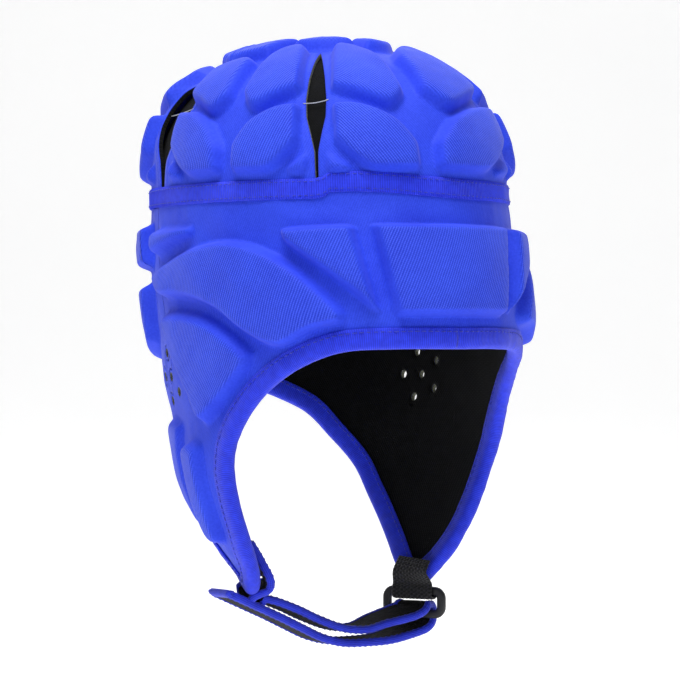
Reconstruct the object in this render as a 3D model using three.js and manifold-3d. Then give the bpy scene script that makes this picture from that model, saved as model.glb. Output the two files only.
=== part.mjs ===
// Rugby scrum cap, held up as a head holds it. Lengths in mm, +Z up, face towards -Y,
// wearer's left at +X. The origin is the inside of the crown's top.
// Around the head: degrees from the middle of the forehead, + to the wearer's left.
import * as THREE from 'three';
import Module from 'manifold-3d';

const wasm = await Module();
wasm.setup();

// head form: the inside of the cap at the crown seam
const headLength = 189;
const headWidth = 149;
const crownRise = 68;
const crownBack = 5;
const crownFullness = 2.15;
const crownShoulder = 2.4;

// sheets, from the head outwards
const liningThickness = 1.2;
const foamThickness = 2.5;
const gap = 0.3;
const bodyPadHeight = 9;
const crownPadHeight = 8;
const padSlope = 3;
const padStep = 30;
const seamGap = 1.2;

// lower body
const flapDrop = 187;
const flapFlare = 7;
const bindingWidth = 8;
const bindingThickness = 1.2;
const bandWidth = 9.6;
const bandThickness = 1.6;

// ear vents
const ventHole = 3;
const ventRing = 12;
const ventCount = 5;
const ventSides = 5;
const ventAngle = 112;
const ventLevel = 0.455;

// crown slits
const slitWidth = 9.8;

// chin strap, its loop and the tab that holds the loop
const strapWidth = 20;
const strapThickness = 3.2;
const strapEdge = 2;
const strapEdgeThickness = 3.6;
const strapSag = 21.5;
const sewnGap = 3.4;
const loopWindow = 25.6;
const loopOpening = 7.2;
const loopBar = 4.2;
const loopDepth = 3;
const loopCorner = 5.5;
const loopTurn = 30;
const tabWidth = 22;
const tabThickness = 1.5;

const foamInside = liningThickness + gap;
const foamOutside = foamInside + foamThickness;
const halfLength = headLength / 2;
const halfWidth = headWidth / 2;
const rad = Math.PI / 180;

// level sections of the lower body: drop as a share of flapDrop, length and width as
// shares of the head's, back of the seam's middle as a share of the half length
const bodySections = [
  { drop: 0.000, length: 1.000, width: 1.000, back: 0 },
  { drop: 0.120, length: 1.020, width: 1.020, back: -0.031 },
  { drop: 0.250, length: 1.025, width: 1.025, back: -0.069 },
  { drop: 0.370, length: 1.005, width: 1.003, back: -0.106 },
  { drop: 0.524, length: 0.964, width: 0.967, back: -0.085 },
  { drop: 0.675, length: 0.901, width: 0.919, back: -0.053 },
  { drop: 0.780, length: 0.796, width: 0.840, back: -0.053 },
  { drop: 0.880, length: 0.600, width: 0.725, back: -0.053 },
  { drop: 0.958, length: 0.435, width: 0.605, back: -0.053 },
  { drop: 1.030, length: 0.330, width: 0.530, back: -0.053 },
];

// lower edge on one side: angle and drop of the edge, and the angle at the seam above it
const edgeRows = [
  { angle: 0, drop: 0.376, top: 0 },
  { angle: 20, drop: 0.376, top: 20 },
  { angle: 38, drop: 0.384, top: 37 },
  { angle: 52, drop: 0.424, top: 51 },
  { angle: 62.5, drop: 0.485, top: 62 },
  { angle: 70, drop: 0.57, top: 70 },
  { angle: 74, drop: 0.67, top: 77 },
  { angle: 75, drop: 0.77, top: 82 },
  { angle: 74, drop: 0.87, top: 87 },
  { angle: 76, drop: 0.945, top: 91 },
  { angle: 85, drop: 0.995, top: 95 },
  { angle: 97, drop: 0.998, top: 100 },
  { angle: 109, drop: 0.95, top: 106 },
  { angle: 119.5, drop: 0.88, top: 114 },
  { angle: 128, drop: 0.785, top: 122 },
  { angle: 134.5, drop: 0.70, top: 130 },
  { angle: 144, drop: 0.625, top: 140 },
  { angle: 157, drop: 0.54, top: 155 },
  { angle: 180, drop: 0.487, top: 180 },
];

// pads of the lower body: each row is a cut across the pad, its upper and lower corner
// as angle and drop; side pads are made again for the other side
const bodyPads = [
  { name: 'forehead', side: false, rows: [
    { upAngle: -26, up: 0.082, lowAngle: -21, low: 0.308 },
    { upAngle: -9, up: 0.082, lowAngle: -7, low: 0.308 },
    { upAngle: 9, up: 0.082, lowAngle: 7, low: 0.308 },
    { upAngle: 26, up: 0.082, lowAngle: 21, low: 0.308 }] },
  { name: 'temple', side: true, rows: [
    { upAngle: 31.5, up: 0.085, lowAngle: 25.5, low: 0.305 },
    { upAngle: 40, up: 0.085, lowAngle: 35, low: 0.24 },
    { upAngle: 54, up: 0.09, lowAngle: 53, low: 0.125 }] },
  { name: 'crescent', side: true, rows: [
    { upAngle: 36, up: 0.297, lowAngle: 37, low: 0.325 },
    { upAngle: 43, up: 0.235, lowAngle: 46, low: 0.338 },
    { upAngle: 53, up: 0.168, lowAngle: 57, low: 0.378 },
    { upAngle: 66, up: 0.122, lowAngle: 68, low: 0.345 },
    { upAngle: 80, up: 0.120, lowAngle: 79, low: 0.282 },
    { upAngle: 97, up: 0.152, lowAngle: 92, low: 0.255 },
    { upAngle: 111, up: 0.190, lowAngle: 107, low: 0.252 }] },
  { name: 'cheek', side: true, rows: [
    { upAngle: 66, up: 0.398, lowAngle: 68, low: 0.430 },
    { upAngle: 74, up: 0.345, lowAngle: 76, low: 0.520 },
    { upAngle: 84, up: 0.303, lowAngle: 85, low: 0.572 },
    { upAngle: 96, up: 0.288, lowAngle: 94, low: 0.495 },
    { upAngle: 107, up: 0.290, lowAngle: 105, low: 0.385 }] },
  { name: 'jaw', side: true, rows: [
    { upAngle: 86.5, up: 0.630, lowAngle: 87, low: 0.860 },
    { upAngle: 93, up: 0.615, lowAngle: 94, low: 0.870 },
    { upAngle: 99, up: 0.625, lowAngle: 100, low: 0.850 }] },
  { name: 'jaw back', side: true, rows: [
    { upAngle: 104, up: 0.580, lowAngle: 104.5, low: 0.830 },
    { upAngle: 113, up: 0.560, lowAngle: 111, low: 0.820 },
    { upAngle: 122, up: 0.575, lowAngle: 117, low: 0.770 }] },
  { name: 'seam wedge', side: true, rows: [
    { upAngle: 87, up: 0.080, lowAngle: 88, low: 0.098 },
    { upAngle: 100, up: 0.078, lowAngle: 101, low: 0.128 },
    { upAngle: 110, up: 0.078, lowAngle: 111, low: 0.150 }] },
  { name: 'back upper', side: true, rows: [
    { upAngle: 116, up: 0.062, lowAngle: 117, low: 0.172 },
    { upAngle: 131, up: 0.062, lowAngle: 131, low: 0.180 },
    { upAngle: 147, up: 0.062, lowAngle: 147, low: 0.182 }] },
  { name: 'back lower', side: true, rows: [
    { upAngle: 118, up: 0.212, lowAngle: 124, low: 0.365 },
    { upAngle: 132, up: 0.216, lowAngle: 134, low: 0.410 },
    { upAngle: 147, up: 0.216, lowAngle: 148, low: 0.425 }] },
  { name: 'nape', side: false, rows: [
    { upAngle: 153.5, up: 0.080, lowAngle: 154, low: 0.425 },
    { upAngle: 170, up: 0.080, lowAngle: 170, low: 0.415 },
    { upAngle: 190, up: 0.080, lowAngle: 190, low: 0.415 },
    { upAngle: 206.5, up: 0.080, lowAngle: 206, low: 0.425 }] },
];

// crown petals: the slits between them, and the middle line of each, as angles
const crownPetals = [
  { from: -42, middle: -6, to: 42 },
  { from: 42, middle: 72, to: 114 },
  { from: 114, middle: 147, to: 180 },
  { from: 180, middle: 213, to: 246 },
  { from: 246, middle: 288, to: 318 },
];

// pads of half a petal: across runs 0 at its middle line to 1 at the slit, height in
// degrees up the crown
const petalPads = [
  { name: 'upper', rows: [
    { upAcross: 0.10, up: 57, lowAcross: 0.07, low: 36 },
    { upAcross: 0.30, up: 65, lowAcross: 0.27, low: 29.5 },
    { upAcross: 0.60, up: 68, lowAcross: 0.58, low: 34 },
    { upAcross: 0.80, up: 66, lowAcross: 0.85, low: 37.5 }] },
  { name: 'lower', rows: [
    { upAcross: 0.07, up: 16, lowAcross: 0.07, low: 6 },
    { upAcross: 0.26, up: 25.5, lowAcross: 0.30, low: 5.5 },
    { upAcross: 0.56, up: 31, lowAcross: 0.56, low: 6.5 },
    { upAcross: 0.84, up: 32, lowAcross: 0.84, low: 16 }] },
  { name: 'corner', rows: [
    { upAcross: 0.68, up: 7.5, lowAcross: 0.68, low: 5 },
    { upAcross: 0.91, up: 13, lowAcross: 0.91, low: 5 }] },
];

// cells round the top, one over each slit: across as a share of the way to the next
// petal's middle line
const topCell = [
  { upAcross: -0.72, up: 83, lowAcross: -0.90, low: 73.5 },
  { upAcross: 0, up: 83.5, lowAcross: 0, low: 72.5 },
  { upAcross: 0.72, up: 83, lowAcross: 0.90, low: 73.5 },
];

// slit between petals: width as a share of slitWidth at each height
const slitRows = [
  { height: 3.5, width: 0.18 },
  { height: 13, width: 0.20 },
  { height: 19, width: 0.52 },
  { height: 27, width: 0.96 },
  { height: 35, width: 1.00 },
  { height: 46, width: 0.78 },
  { height: 58, width: 0.42 },
  { height: 68, width: 0.10 },
];

// free run of the strap: across as a share of the flap tip's place, level as a share
// of strapSag below it, ahead as a share of strapWidth, turn of its width in degrees
const innerRun = [
  { across: -0.93, level: 0.08, ahead: -0.27, turn: 0 },
  { across: -0.72, level: 0.23, ahead: -0.22, turn: 0 },
  { across: -0.49, level: 0.42, ahead: -0.15, turn: 0 },
  { across: -0.245, level: 0.66, ahead: -0.10, turn: 0 },
  { across: 0.077, level: 0.90, ahead: -0.05, turn: 0 },
  { across: 0.34, level: 0.94, ahead: 0.00, turn: 6 },
  { across: 0.57, level: 0.79, ahead: 0.04, turn: 16 },
];
const outerRun = [
  { across: 0.86, level: 1.06, ahead: 0.12, turn: 20 },
  { across: 0.62, level: 1.20, ahead: 0.08, turn: 10 },
  { across: 0.32, level: 1.24, ahead: 0.02, turn: 2 },
  { across: 0.05, level: 1.22, ahead: -0.05, turn: 0 },
  { across: -0.20, level: 1.08, ahead: -0.10, turn: 0 },
  { across: -0.42, level: 0.86, ahead: -0.16, turn: 0 },
  { across: -0.67, level: 0.60, ahead: -0.22, turn: 0 },
  { across: -0.92, level: 0.36, ahead: -0.27, turn: 0 },
  { across: -1.28, level: 0.02, ahead: -0.32, turn: 0 },
];

const lerp = (a, b, s) => a + (b - a) * s;
// 0 at a, 1 at b, smooth between
const ramp = (a, b, x) => {
  const s = Math.min(Math.max((x - a) / (b - a), 0), 1);
  return s * s * (3 - 2 * s);
};

// smooth curve through a table: value of `column` where `key` is x
function smooth(rows, key, column, x) {
  const last = rows.length - 1;
  const slope = (i) => {
    const a = Math.max(i - 1, 0);
    const b = Math.min(i + 1, last);
    return (rows[b][column] - rows[a][column]) / (rows[b][key] - rows[a][key]);
  };
  let i = 0;
  while (i < last - 1 && x > rows[i + 1][key]) i += 1;
  const h = rows[i + 1][key] - rows[i][key];
  const s = (x - rows[i][key]) / h;
  const s2 = s * s;
  const s3 = s2 * s;
  return (2 * s3 - 3 * s2 + 1) * rows[i][column] + (s3 - 2 * s2 + s) * h * slope(i)
    + (3 * s2 - 2 * s3) * rows[i + 1][column] + (s3 - s2) * h * slope(i + 1);
}

function bodyBase(angle, drop) {
  const length = halfLength * smooth(bodySections, 'drop', 'length', drop);
  const width = halfWidth * smooth(bodySections, 'drop', 'width', drop);
  const back = halfLength * smooth(bodySections, 'drop', 'back', drop) - crownBack;
  const turned = ((((angle + 180) % 360) + 360) % 360) - 180;
  const flare = Math.sign(turned) * flapFlare * ramp(0.42, 0.66, drop) * ramp(118, 60, Math.abs(turned));
  return new THREE.Vector3(width * Math.sin(angle * rad) + flare,
    back - length * Math.cos(angle * rad), -crownRise - seamGap - drop * flapDrop);
}

function crownBase(angle, height) {
  const s = Math.pow(Math.max(Math.sin(height * rad), 0), 2 / crownFullness);
  const c = Math.pow(Math.max(1 - Math.pow(s, crownShoulder), 0), 1 / crownShoulder);
  return new THREE.Vector3(halfWidth * c * Math.sin(angle * rad),
    crownBack * (s - 1) - halfLength * c * Math.cos(angle * rad),
    -crownRise + crownRise * s);
}

function outward(base, angle, level, step) {
  const across = base(angle + 0.2, level).sub(base(angle - 0.2, level));
  const along = base(angle, level + step).sub(base(angle, level - step));
  return across.cross(along).normalize();
}

// a point `out` mm from the head
function onBody(angle, drop, out) {
  const n = outward(bodyBase, angle, drop, 0.001).negate();
  return bodyBase(angle, drop).addScaledVector(n, out);
}
function onCrown(angle, height, out) {
  if (height > 89.5) return new THREE.Vector3(0, 0, out);
  const n = outward(crownBase, angle, Math.max(height, 0.3), 0.2);
  return crownBase(angle, height).addScaledVector(n, out);
}

// angle and drop of the point reached from (angle, drop) by `across` mm round the head
// and `down` mm down the body
function slide(angle, drop, across, down) {
  const p = bodyBase(angle, drop);
  const u = bodyBase(angle + 0.1, drop).sub(p).multiplyScalar(10);
  const v = bodyBase(angle, drop + 0.001).sub(p).multiplyScalar(1000);
  const uLength = u.length();
  const skew = u.dot(v) / uLength;
  const vLength = Math.sqrt(v.lengthSq() - skew * skew);
  const dDrop = down / vLength;
  return [angle + (across - dDrop * skew) / uLength, drop + dDrop];
}

// columns shared by every sheet: angle at the seam, angle and drop at the lower edge
const columns = [];
for (let i = 0; i < edgeRows.length - 1; i += 1) {
  const parts = i < 2 || i > 15 ? 2 : 1;
  for (let k = 0; k < parts; k += 1) {
    const row = { at: i + k / parts };
    for (const name of ['angle', 'drop', 'top']) {
      const list = edgeRows.map((r, j) => ({ at: j, v: r[name] }));
      if (i === 0 && name === 'drop') list.unshift({ at: -1, v: edgeRows[1].drop });
      row[name] = smooth(list, 'at', 'v', row.at);
    }
    columns.push(row);
  }
}
columns.push({ at: edgeRows.length - 1, ...edgeRows[edgeRows.length - 1] });
const half = columns.length;
for (let i = half - 2; i > 0; i -= 1) {
  columns.push({ angle: 360 - columns[i].angle, drop: columns[i].drop, top: 360 - columns[i].top });
}
const count = columns.length;

// place `inward` mm inside the lower edge at column i
function fromEdge(i, inward) {
  const c = columns[i];
  const a = columns[(i + count - 1) % count];
  const b = columns[(i + 1) % count];
  const p = bodyBase(c.angle, c.drop);
  const run = bodyBase(b.angle, b.drop).sub(bodyBase(a.angle, a.drop)).normalize();
  const n = outward(bodyBase, c.angle, c.drop, 0.001).negate();
  const up = new THREE.Vector3().crossVectors(n, run).normalize();
  const u = bodyBase(c.angle + 0.1, c.drop).sub(p).normalize();
  const v = new THREE.Vector3().crossVectors(u, n).normalize();
  return slide(c.angle, c.drop, inward * up.dot(u), inward * up.dot(v));
}

// closed body of a mesh, turned the right way out
function body(points, faces) {
  let volume = 0;
  const a = new THREE.Vector3();
  for (const [i, j, k] of faces) volume += points[i].dot(a.crossVectors(points[j], points[k]));
  const flat = faces.flatMap(([i, j, k]) => (volume < 0 ? [i, k, j] : [i, j, k]));
  const vertProperties = new Float32Array(points.flatMap((p) => [p.x, p.y, p.z]));
  const mesh = new wasm.Mesh({ numProp: 3, vertProperties, triVerts: new Uint32Array(flat) });
  return new wasm.Manifold(mesh);
}

// sections of equal point count joined in a row; ends capped, or the row closed. The
// faces of side `turned` are split along their other diagonal
function loft(sections, closed, turned = -1) {
  const n = sections[0].length;
  const points = sections.flat();
  const faces = [];
  const rows = closed ? sections.length : sections.length - 1;
  for (let i = 0; i < rows; i += 1) {
    const a = i * n;
    const b = ((i + 1) % sections.length) * n;
    for (let k = 0; k < n; k += 1) {
      const m = (k + 1) % n;
      if (k === turned) faces.push([a + k, b + k, a + m], [b + k, b + m, a + m]);
      else faces.push([a + k, b + k, b + m], [a + k, b + m, a + m]);
    }
  }
  if (!closed) {
    const e = (sections.length - 1) * n;
    for (let k = 1; k < n - 1; k += 1) faces.push([0, k, k + 1], [e, e + k + 1, e + k]);
  }
  return body(points, faces);
}

// closed body under one offset of a grid of places. `ends` are the points that its rims
// close to, or none at the crown's top; `rim` is the offset that a rim runs in to first
function filled(grid, place, out, rim, ends) {
  const rows = grid[0].length;
  const n = grid.length;
  const points = grid.flatMap((column) => column.map(([a, b]) => place(a, b, out)));
  const faces = [];
  const id = (i, j) => (i % n) * rows + j;
  for (let i = 0; i < n; i += 1) {
    for (let j = 0; j < rows - 1; j += 1) {
      faces.push([id(i, j), id(i + 1, j), id(i + 1, j + 1)], [id(i, j), id(i + 1, j + 1), id(i, j + 1)]);
    }
  }
  const close = (row, end, turned) => {
    const add = (f) => faces.push(turned ? [f[0], f[2], f[1]] : f);
    let ring = grid.map((c, i) => id(i, row));
    if (rim !== out && end) {
      const next = grid.map((c) => points.push(place(...c[row], rim)) - 1);
      ring.forEach((k, i) => {
        const m = (i + 1) % n;
        add([k, next[i], next[m]]);
        add([k, next[m], ring[m]]);
      });
      ring = next;
    }
    const c = points.push(end || place(0, 90, out)) - 1;
    ring.forEach((k, i) => add([k, c, ring[(i + 1) % n]]));
  };
  close(0, ends[0], false);
  close(rows - 1, ends[1], true);
  return body(points, faces);
}

// sheet between two offsets of a grid; `more` is added to the outside before it is hollowed
function wall(grid, place, inside, outside, ends, more = []) {
  let solid = filled(grid, place, outside, inside, ends);
  for (const piece of more) solid = solid.add(piece);
  return solid.subtract(filled(grid, place, inside, inside, ends));
}

// pad on a sheet: rows of [upper place, lower place], sloped sides, following the head
function pad(rows, place, height) {
  const foot = foamInside - 1;
  const top = foamOutside + height;
  const mix = (r, q, s) => [0, 1].map((k) => [lerp(r[k][0], q[k][0], s), lerp(r[k][1], q[k][1], s)]);
  const mid = (r) => [(r[0][0] + r[1][0]) / 2, (r[0][1] + r[1][1]) / 2];
  const far = (r, q) => place(...mid(r), foamOutside).distanceTo(place(...mid(q), foamOutside));
  const cut = (row, crest) => {
    const span = place(...crest[0], foamOutside).distanceTo(place(...crest[1], foamOutside));
    const inset = Math.min(padSlope / span, 0.35);
    const at = (s) => mix(crest, [crest[1], crest[0]], s)[0];
    const tops = (span > padStep ? [inset, 0.5, 1 - inset] : [inset, 1 - inset]);
    while (tops.length < crossings) tops.splice(1, 0, 0.5);
    return [place(...row[0], foot), ...tops.map((s) => place(...at(s), top)), place(...row[1], foot)];
  };
  const spans = rows.map((r) => place(...r[0], foamOutside).distanceTo(place(...r[1], foamOutside)));
  const crossings = Math.max(...spans) > padStep ? 3 : 2;
  const last = rows.length - 1;
  const inward = (r, q) => mix(r, q, padSlope / far(r, q));
  const all = [cut(rows[0], inward(rows[0], rows[1]))];
  for (let i = 0; i < last; i += 1) {
    const parts = Math.ceil(far(rows[i], rows[i + 1]) / padStep);
    for (let k = i === 0 ? 1 : 0; k < parts; k += 1) {
      const row = mix(rows[i], rows[i + 1], k / parts);
      all.push(cut(row, row));
    }
  }
  all.push(cut(rows[last], inward(rows[last], rows[last - 1])));
  return loft(all, false);
}

// crown: foam shell, pads, slits
function makeCrown() {
  const heights = [0, 14, 29, 44, 59, 74];
  const grid = columns.filter((c, i) => i % 2 === 0).map((c) => heights.map((h) => [c.top, h]));
  const rimPoint = new THREE.Vector3(0, -crownBack, -crownRise);
  const pads = [];
  for (const petal of crownPetals) {
    for (const side of [petal.from, petal.to]) {
      for (const { rows } of petalPads) {
        pads.push(pad(rows.map((r) => [
          [lerp(petal.middle, side, r.upAcross), r.up],
          [lerp(petal.middle, side, r.lowAcross), r.low]]), onCrown, crownPadHeight));
      }
    }
  }
  for (let i = 0; i < crownPetals.length; i += 1) {
    const petal = crownPetals[i];
    const next = crownPetals[(i + 1) % crownPetals.length];
    const step = next.middle + (next.middle < petal.middle ? 360 : 0) - petal.to;
    const reach = (s) => petal.to + (s < 0 ? s * (petal.to - petal.middle) : s * step);
    pads.push(pad(topCell.map((r) => [[reach(r.upAcross), r.up],
      [reach(r.lowAcross), r.low]]), onCrown, crownPadHeight));
  }
  let shell = wall(grid, onCrown, foamInside, foamOutside, [rimPoint, null], pads);
  for (const petal of crownPetals) {
    const cuts = slitRows.map((r) => {
      const radius = onCrown(petal.to, r.height, foamOutside)
        .setZ(0).distanceTo(new THREE.Vector3(0, -crownBack, 0));
      const turn = (r.width * slitWidth) / 2 / radius / rad;
      const low = foamInside - 0.8 * gap - liningThickness / 2;
      const high = foamOutside + crownPadHeight + 3;
      return [onCrown(petal.to - turn, r.height, low), onCrown(petal.to + turn, r.height, low),
        onCrown(petal.to + turn, r.height, high), onCrown(petal.to - turn, r.height, high)];
    });
    shell = shell.subtract(loft(cuts, false));
  }
  const lining = wall(grid, onCrown, 0, liningThickness, [rimPoint, null]);
  return [shell, lining];
}

// bars that cut the ear vents, both sides
function vents() {
  const bars = [];
  for (const side of [1, -1]) {
    for (let k = 0; k <= ventCount; k += 1) {
      const turn = (k * 360) / ventCount * rad;
      const ring = k === ventCount ? 0 : ventRing;
      const [a, d] = slide(ventAngle, ventLevel, ring * Math.cos(turn), ring * Math.sin(turn));
      const cut = (out) => Array.from({ length: ventSides }, (_, j) => {
        const s = (j * 360) / ventSides * rad;
        const [b, e] = slide(a, d, (ventHole / 2) * Math.cos(s), (ventHole / 2) * Math.sin(s));
        return onBody(side * b, e, out);
      });
      bars.push(loft([cut(-2), cut(foamOutside + 2)], false));
    }
  }
  return bars;
}

function makeBody(trim) {
  const levels = [0, 0.26, 0.52, 0.78];
  const grid = columns.map((c, i) => {
    const near = fromEdge(i, bindingWidth);
    return [...levels.map((s) => [lerp(c.top, near[0], s), near[1] * s]), near, [c.angle, c.drop]];
  });
  const pads = [];
  for (const { side, rows } of bodyPads) {
    for (const sign of side ? [1, -1] : [1]) {
      pads.push(pad(rows.map((r) => [[sign * r.upAngle, r.up],
        [sign * r.lowAngle, r.low]]), onBody, bodyPadHeight));
    }
  }
  const ends = [new THREE.Vector3(0, -crownBack, -crownRise - seamGap),
    new THREE.Vector3(0, -2 * crownBack, -crownRise - 0.38 * flapDrop)];
  let shell = wall(grid, onBody, foamInside, foamOutside, ends, pads);
  let lining = wall(grid, onBody, 0, liningThickness, ends);
  for (const bar of vents()) {
    shell = shell.subtract(bar);
    lining = lining.subtract(bar);
  }
  return [shell.subtract(trim), lining];
}

// edging of the lower rim, a U round both sheets; `spare` grows it for clearance
function edging(spare) {
  const far = bindingWidth + spare;
  const out = foamOutside + gap;
  const low = -1.2 * gap;
  return loft(columns.map((c, i) => {
    const at = (inward, n) => onBody(...fromEdge(i, inward), n);
    return [at(far, out), at(-gap, out), at(-gap, low), at(far, low),
      at(far, low - bindingThickness), at(-gap - bindingThickness, low - bindingThickness),
      at(-gap - bindingThickness, out + bindingThickness + spare),
      at(far, out + bindingThickness + spare)];
  }), true, 2);
}

function band() {
  const out = foamOutside + gap;
  const reach = bandWidth / 2;
  const height = Math.pow(reach / crownRise, crownFullness / 2);
  return loft(columns.map((c) => {
    const up = Math.asin(height) / rad;
    const down = reach / flapDrop;
    return [onCrown(c.top, up, out), onCrown(c.top, up, out + bandThickness),
      onBody(c.top, down, out + bandThickness), onBody(c.top, down, out)];
  }), true);
}

// chin: the loop hangs just under the wearer's left flap tip
const tip = edgeRows.reduce((a, r) => (r.drop > a.drop ? r : a));
const tipPlace = onBody(tip.angle, tip.drop, foamOutside / 2);
const tipLow = tipPlace.z - gap - bindingThickness;
const loopHeight = loopOpening + 2 * loopBar;
const loopCentre = new THREE.Vector3(tipPlace.x, tipPlace.y - strapWidth / 4,
  tipLow - 2 * gap - loopHeight / 2);
const widthAt = (turn) => new THREE.Vector3(Math.sin(turn * rad), -Math.cos(turn * rad), 0);
const loopAlong = widthAt(loopTurn);
const loopOut = new THREE.Vector3(-loopAlong.y, loopAlong.x, 0).negate();

function loopRing() {
  const w = loopWindow / 2 + loopBar;
  const h = loopHeight / 2;
  const round = (path, x, y, r) => {
    path.moveTo(x - r, -y);
    path.absarc(x - r, -y + r, r, -Math.PI / 2, 0, false);
    path.absarc(x - r, y - r, r, 0, Math.PI / 2, false);
    path.absarc(-x + r, y - r, r, Math.PI / 2, Math.PI, false);
    path.absarc(-x + r, -y + r, r, Math.PI, 1.5 * Math.PI, false);
    return path;
  };
  const shape = round(new THREE.Shape(), w, h, loopCorner);
  shape.holes.push(round(new THREE.Path(), loopWindow / 2, loopOpening / 2, loopBar / 4));
  const g = new THREE.ExtrudeGeometry(shape, { depth: loopDepth, bevelEnabled: false, curveSegments: 3 });
  g.translate(0, 0, -loopDepth / 2);
  const up = new THREE.Vector3(0, 0, 1);
  const m = new THREE.Matrix4().makeBasis(loopAlong, up, new THREE.Vector3()
    .crossVectors(loopAlong, up)).setPosition(loopCentre);
  g.applyMatrix4(m);
  g.deleteAttribute('normal');
  g.deleteAttribute('uv');
  return g;
}

// place inside the flap, its width turned along the flap
function sewnAt(angle, drop, out) {
  const along = onBody(angle + 1, drop, out).sub(onBody(angle - 1, drop, out));
  if (along.y > 0) along.negate();
  return { p: onBody(angle, drop, out), turn: Math.atan2(along.x, -along.y) / rad };
}

// points round a bar of the loop, `spare` mm off it: 0 on the chin's side, 90 over it
function roundBar(level, spare, from, to, step) {
  const list = [];
  const steps = Math.round(Math.abs(to - from) / step);
  for (let k = 0; k <= steps; k += 1) {
    const s = lerp(from, to, k / steps) * rad;
    const square = Math.pow(Math.cos(s) ** 4 + Math.sin(s) ** 4, -1 / 4);
    list.push({ p: loopCentre.clone()
      .addScaledVector(loopOut, (loopDepth / 2 + spare) * square * Math.cos(s))
      .add(new THREE.Vector3(0, 0, level + (loopBar / 2 + spare) * square * Math.sin(s))),
    turn: loopTurn });
  }
  return list;
}

function runPoints(rows) {
  return rows.map((r) => ({ p: new THREE.Vector3(r.across * tipPlace.x,
    tipPlace.y - r.ahead * strapWidth, tipLow - r.level * strapSag), turn: r.turn }));
}

// frames along a smooth line: place, direction, width direction, face direction
function frames(list, per) {
  const curve = new THREE.CatmullRomCurve3(list.map((r) => r.p), false, 'centripetal');
  const n = (list.length - 1) * per;
  return Array.from({ length: n + 1 }, (_, i) => {
    const s = i / n;
    const k = Math.min(Math.floor(i / per), list.length - 2);
    const turn = lerp(list[k].turn, list[k + 1].turn, i / per - k);
    const p = curve.getPoint(s);
    const run = curve.getTangent(s).normalize();
    const wide = widthAt(turn);
    wide.addScaledVector(run, -wide.dot(run)).normalize();
    return { p, run, wide, face: new THREE.Vector3().crossVectors(run, wide).normalize() };
  });
}

// strip with a rectangular section between two places across its width
function strip(list, from, to, thick) {
  return list.map(({ p, wide, face }) => [[from, 1], [to, 1], [to, -1], [from, -1]]
    .map(([a, b]) => p.clone().addScaledVector(wide, a).addScaledVector(face, (b * thick) / 2)));
}

function chinStrap() {
  const barLevel = -(loopOpening + loopBar) / 2;
  const inside = -(gap + bindingThickness + sewnGap + strapEdgeThickness / 2);
  const sewn = [0.10, 0.05, 0.0].map((s) => sewnAt(-tip.angle, tip.drop - s, inside));
  const list = frames([...sewn, ...runPoints(innerRun), ...roundBar(barLevel, 2.5 * gap + strapEdgeThickness / 2, 35, 235, 28),
    ...runPoints(outerRun)], 1);
  const edge = strapWidth / 2;
  const inner = edge - strapEdge;
  const strap = loft(strip(list, -inner + 4 * gap, inner - 4 * gap, strapThickness), false);
  const last = list[list.length - 1];
  const end = (s) => ({ ...last, p: last.p.clone().addScaledVector(last.run, s) });
  const far = [...list, end(gap), end(gap + strapEdge)];
  let rim = loft(strip(far, -edge, -inner, strapEdgeThickness), false);
  rim = rim.add(loft(strip(far, inner, edge, strapEdgeThickness), false));
  rim = rim.add(loft(strip(far.slice(-2), -edge, edge, strapEdgeThickness), false));
  return [strap, rim];
}

function loopTab() {
  const barLevel = (loopOpening + loopBar) / 2;
  const inside = -(gap + bindingThickness + sewnGap + tabThickness / 2);
  const angle = tip.angle - 8;
  const sewn = [0.085, 0.03].map((s) => sewnAt(angle, tip.drop - s, inside));
  const list = frames([...sewn, ...roundBar(barLevel, 2.5 * gap + tabThickness / 2, 50, -180, 46)], 1);
  return loft(strip(list, -tabWidth / 2, tabWidth / 2, tabThickness), false);
}

const colours = {
  blue: 0x4860fa, band: 0x202ce0, edge: 0x283ceb, black: 0x08090c, plastic: 0x26252c,
};

function named(group, name, solid, colour, roughness) {
  let geometry = solid;
  if (!solid.isBufferGeometry) {
    const m = solid.getMesh();
    geometry = new THREE.BufferGeometry();
    geometry.setAttribute('position', new THREE.BufferAttribute(new Float32Array(m.vertProperties), 3));
    geometry.setIndex(Array.from(m.triVerts));
  }
  const mesh = new THREE.Mesh(geometry, new THREE.MeshStandardMaterial({ color: colour, roughness }));
  mesh.name = name;
  group.add(mesh);
}

const group = new THREE.Group();
group.name = 'scrum_cap';
const [crown, crownLining] = makeCrown();
const [sideBody, bodyLining] = makeBody(edging(gap));
const [strap, strapBinding] = chinStrap();
named(group, 'crown', crown, colours.blue, 0.8);
named(group, 'crown_lining', crownLining, colours.black, 0.95);
named(group, 'crown_band', band(), colours.band, 0.7);
named(group, 'side_body', sideBody, colours.blue, 0.8);
named(group, 'body_lining', bodyLining, colours.black, 0.95);
named(group, 'edge_binding', edging(0), colours.edge, 0.75);
named(group, 'chin_strap', strap, colours.black, 0.95);
named(group, 'strap_binding', strapBinding, colours.edge, 0.75);
named(group, 'strap_loop', loopRing(), colours.plastic, 0.5);
named(group, 'loop_tab', loopTab(), colours.black, 0.85);

export default group;
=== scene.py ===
# Rugby scrum cap, held up as a head holds it. Lengths are mm here; meshes are made in metres.
# Round the head: degrees from the middle of the forehead, + to the wearer's left.
import math

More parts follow.
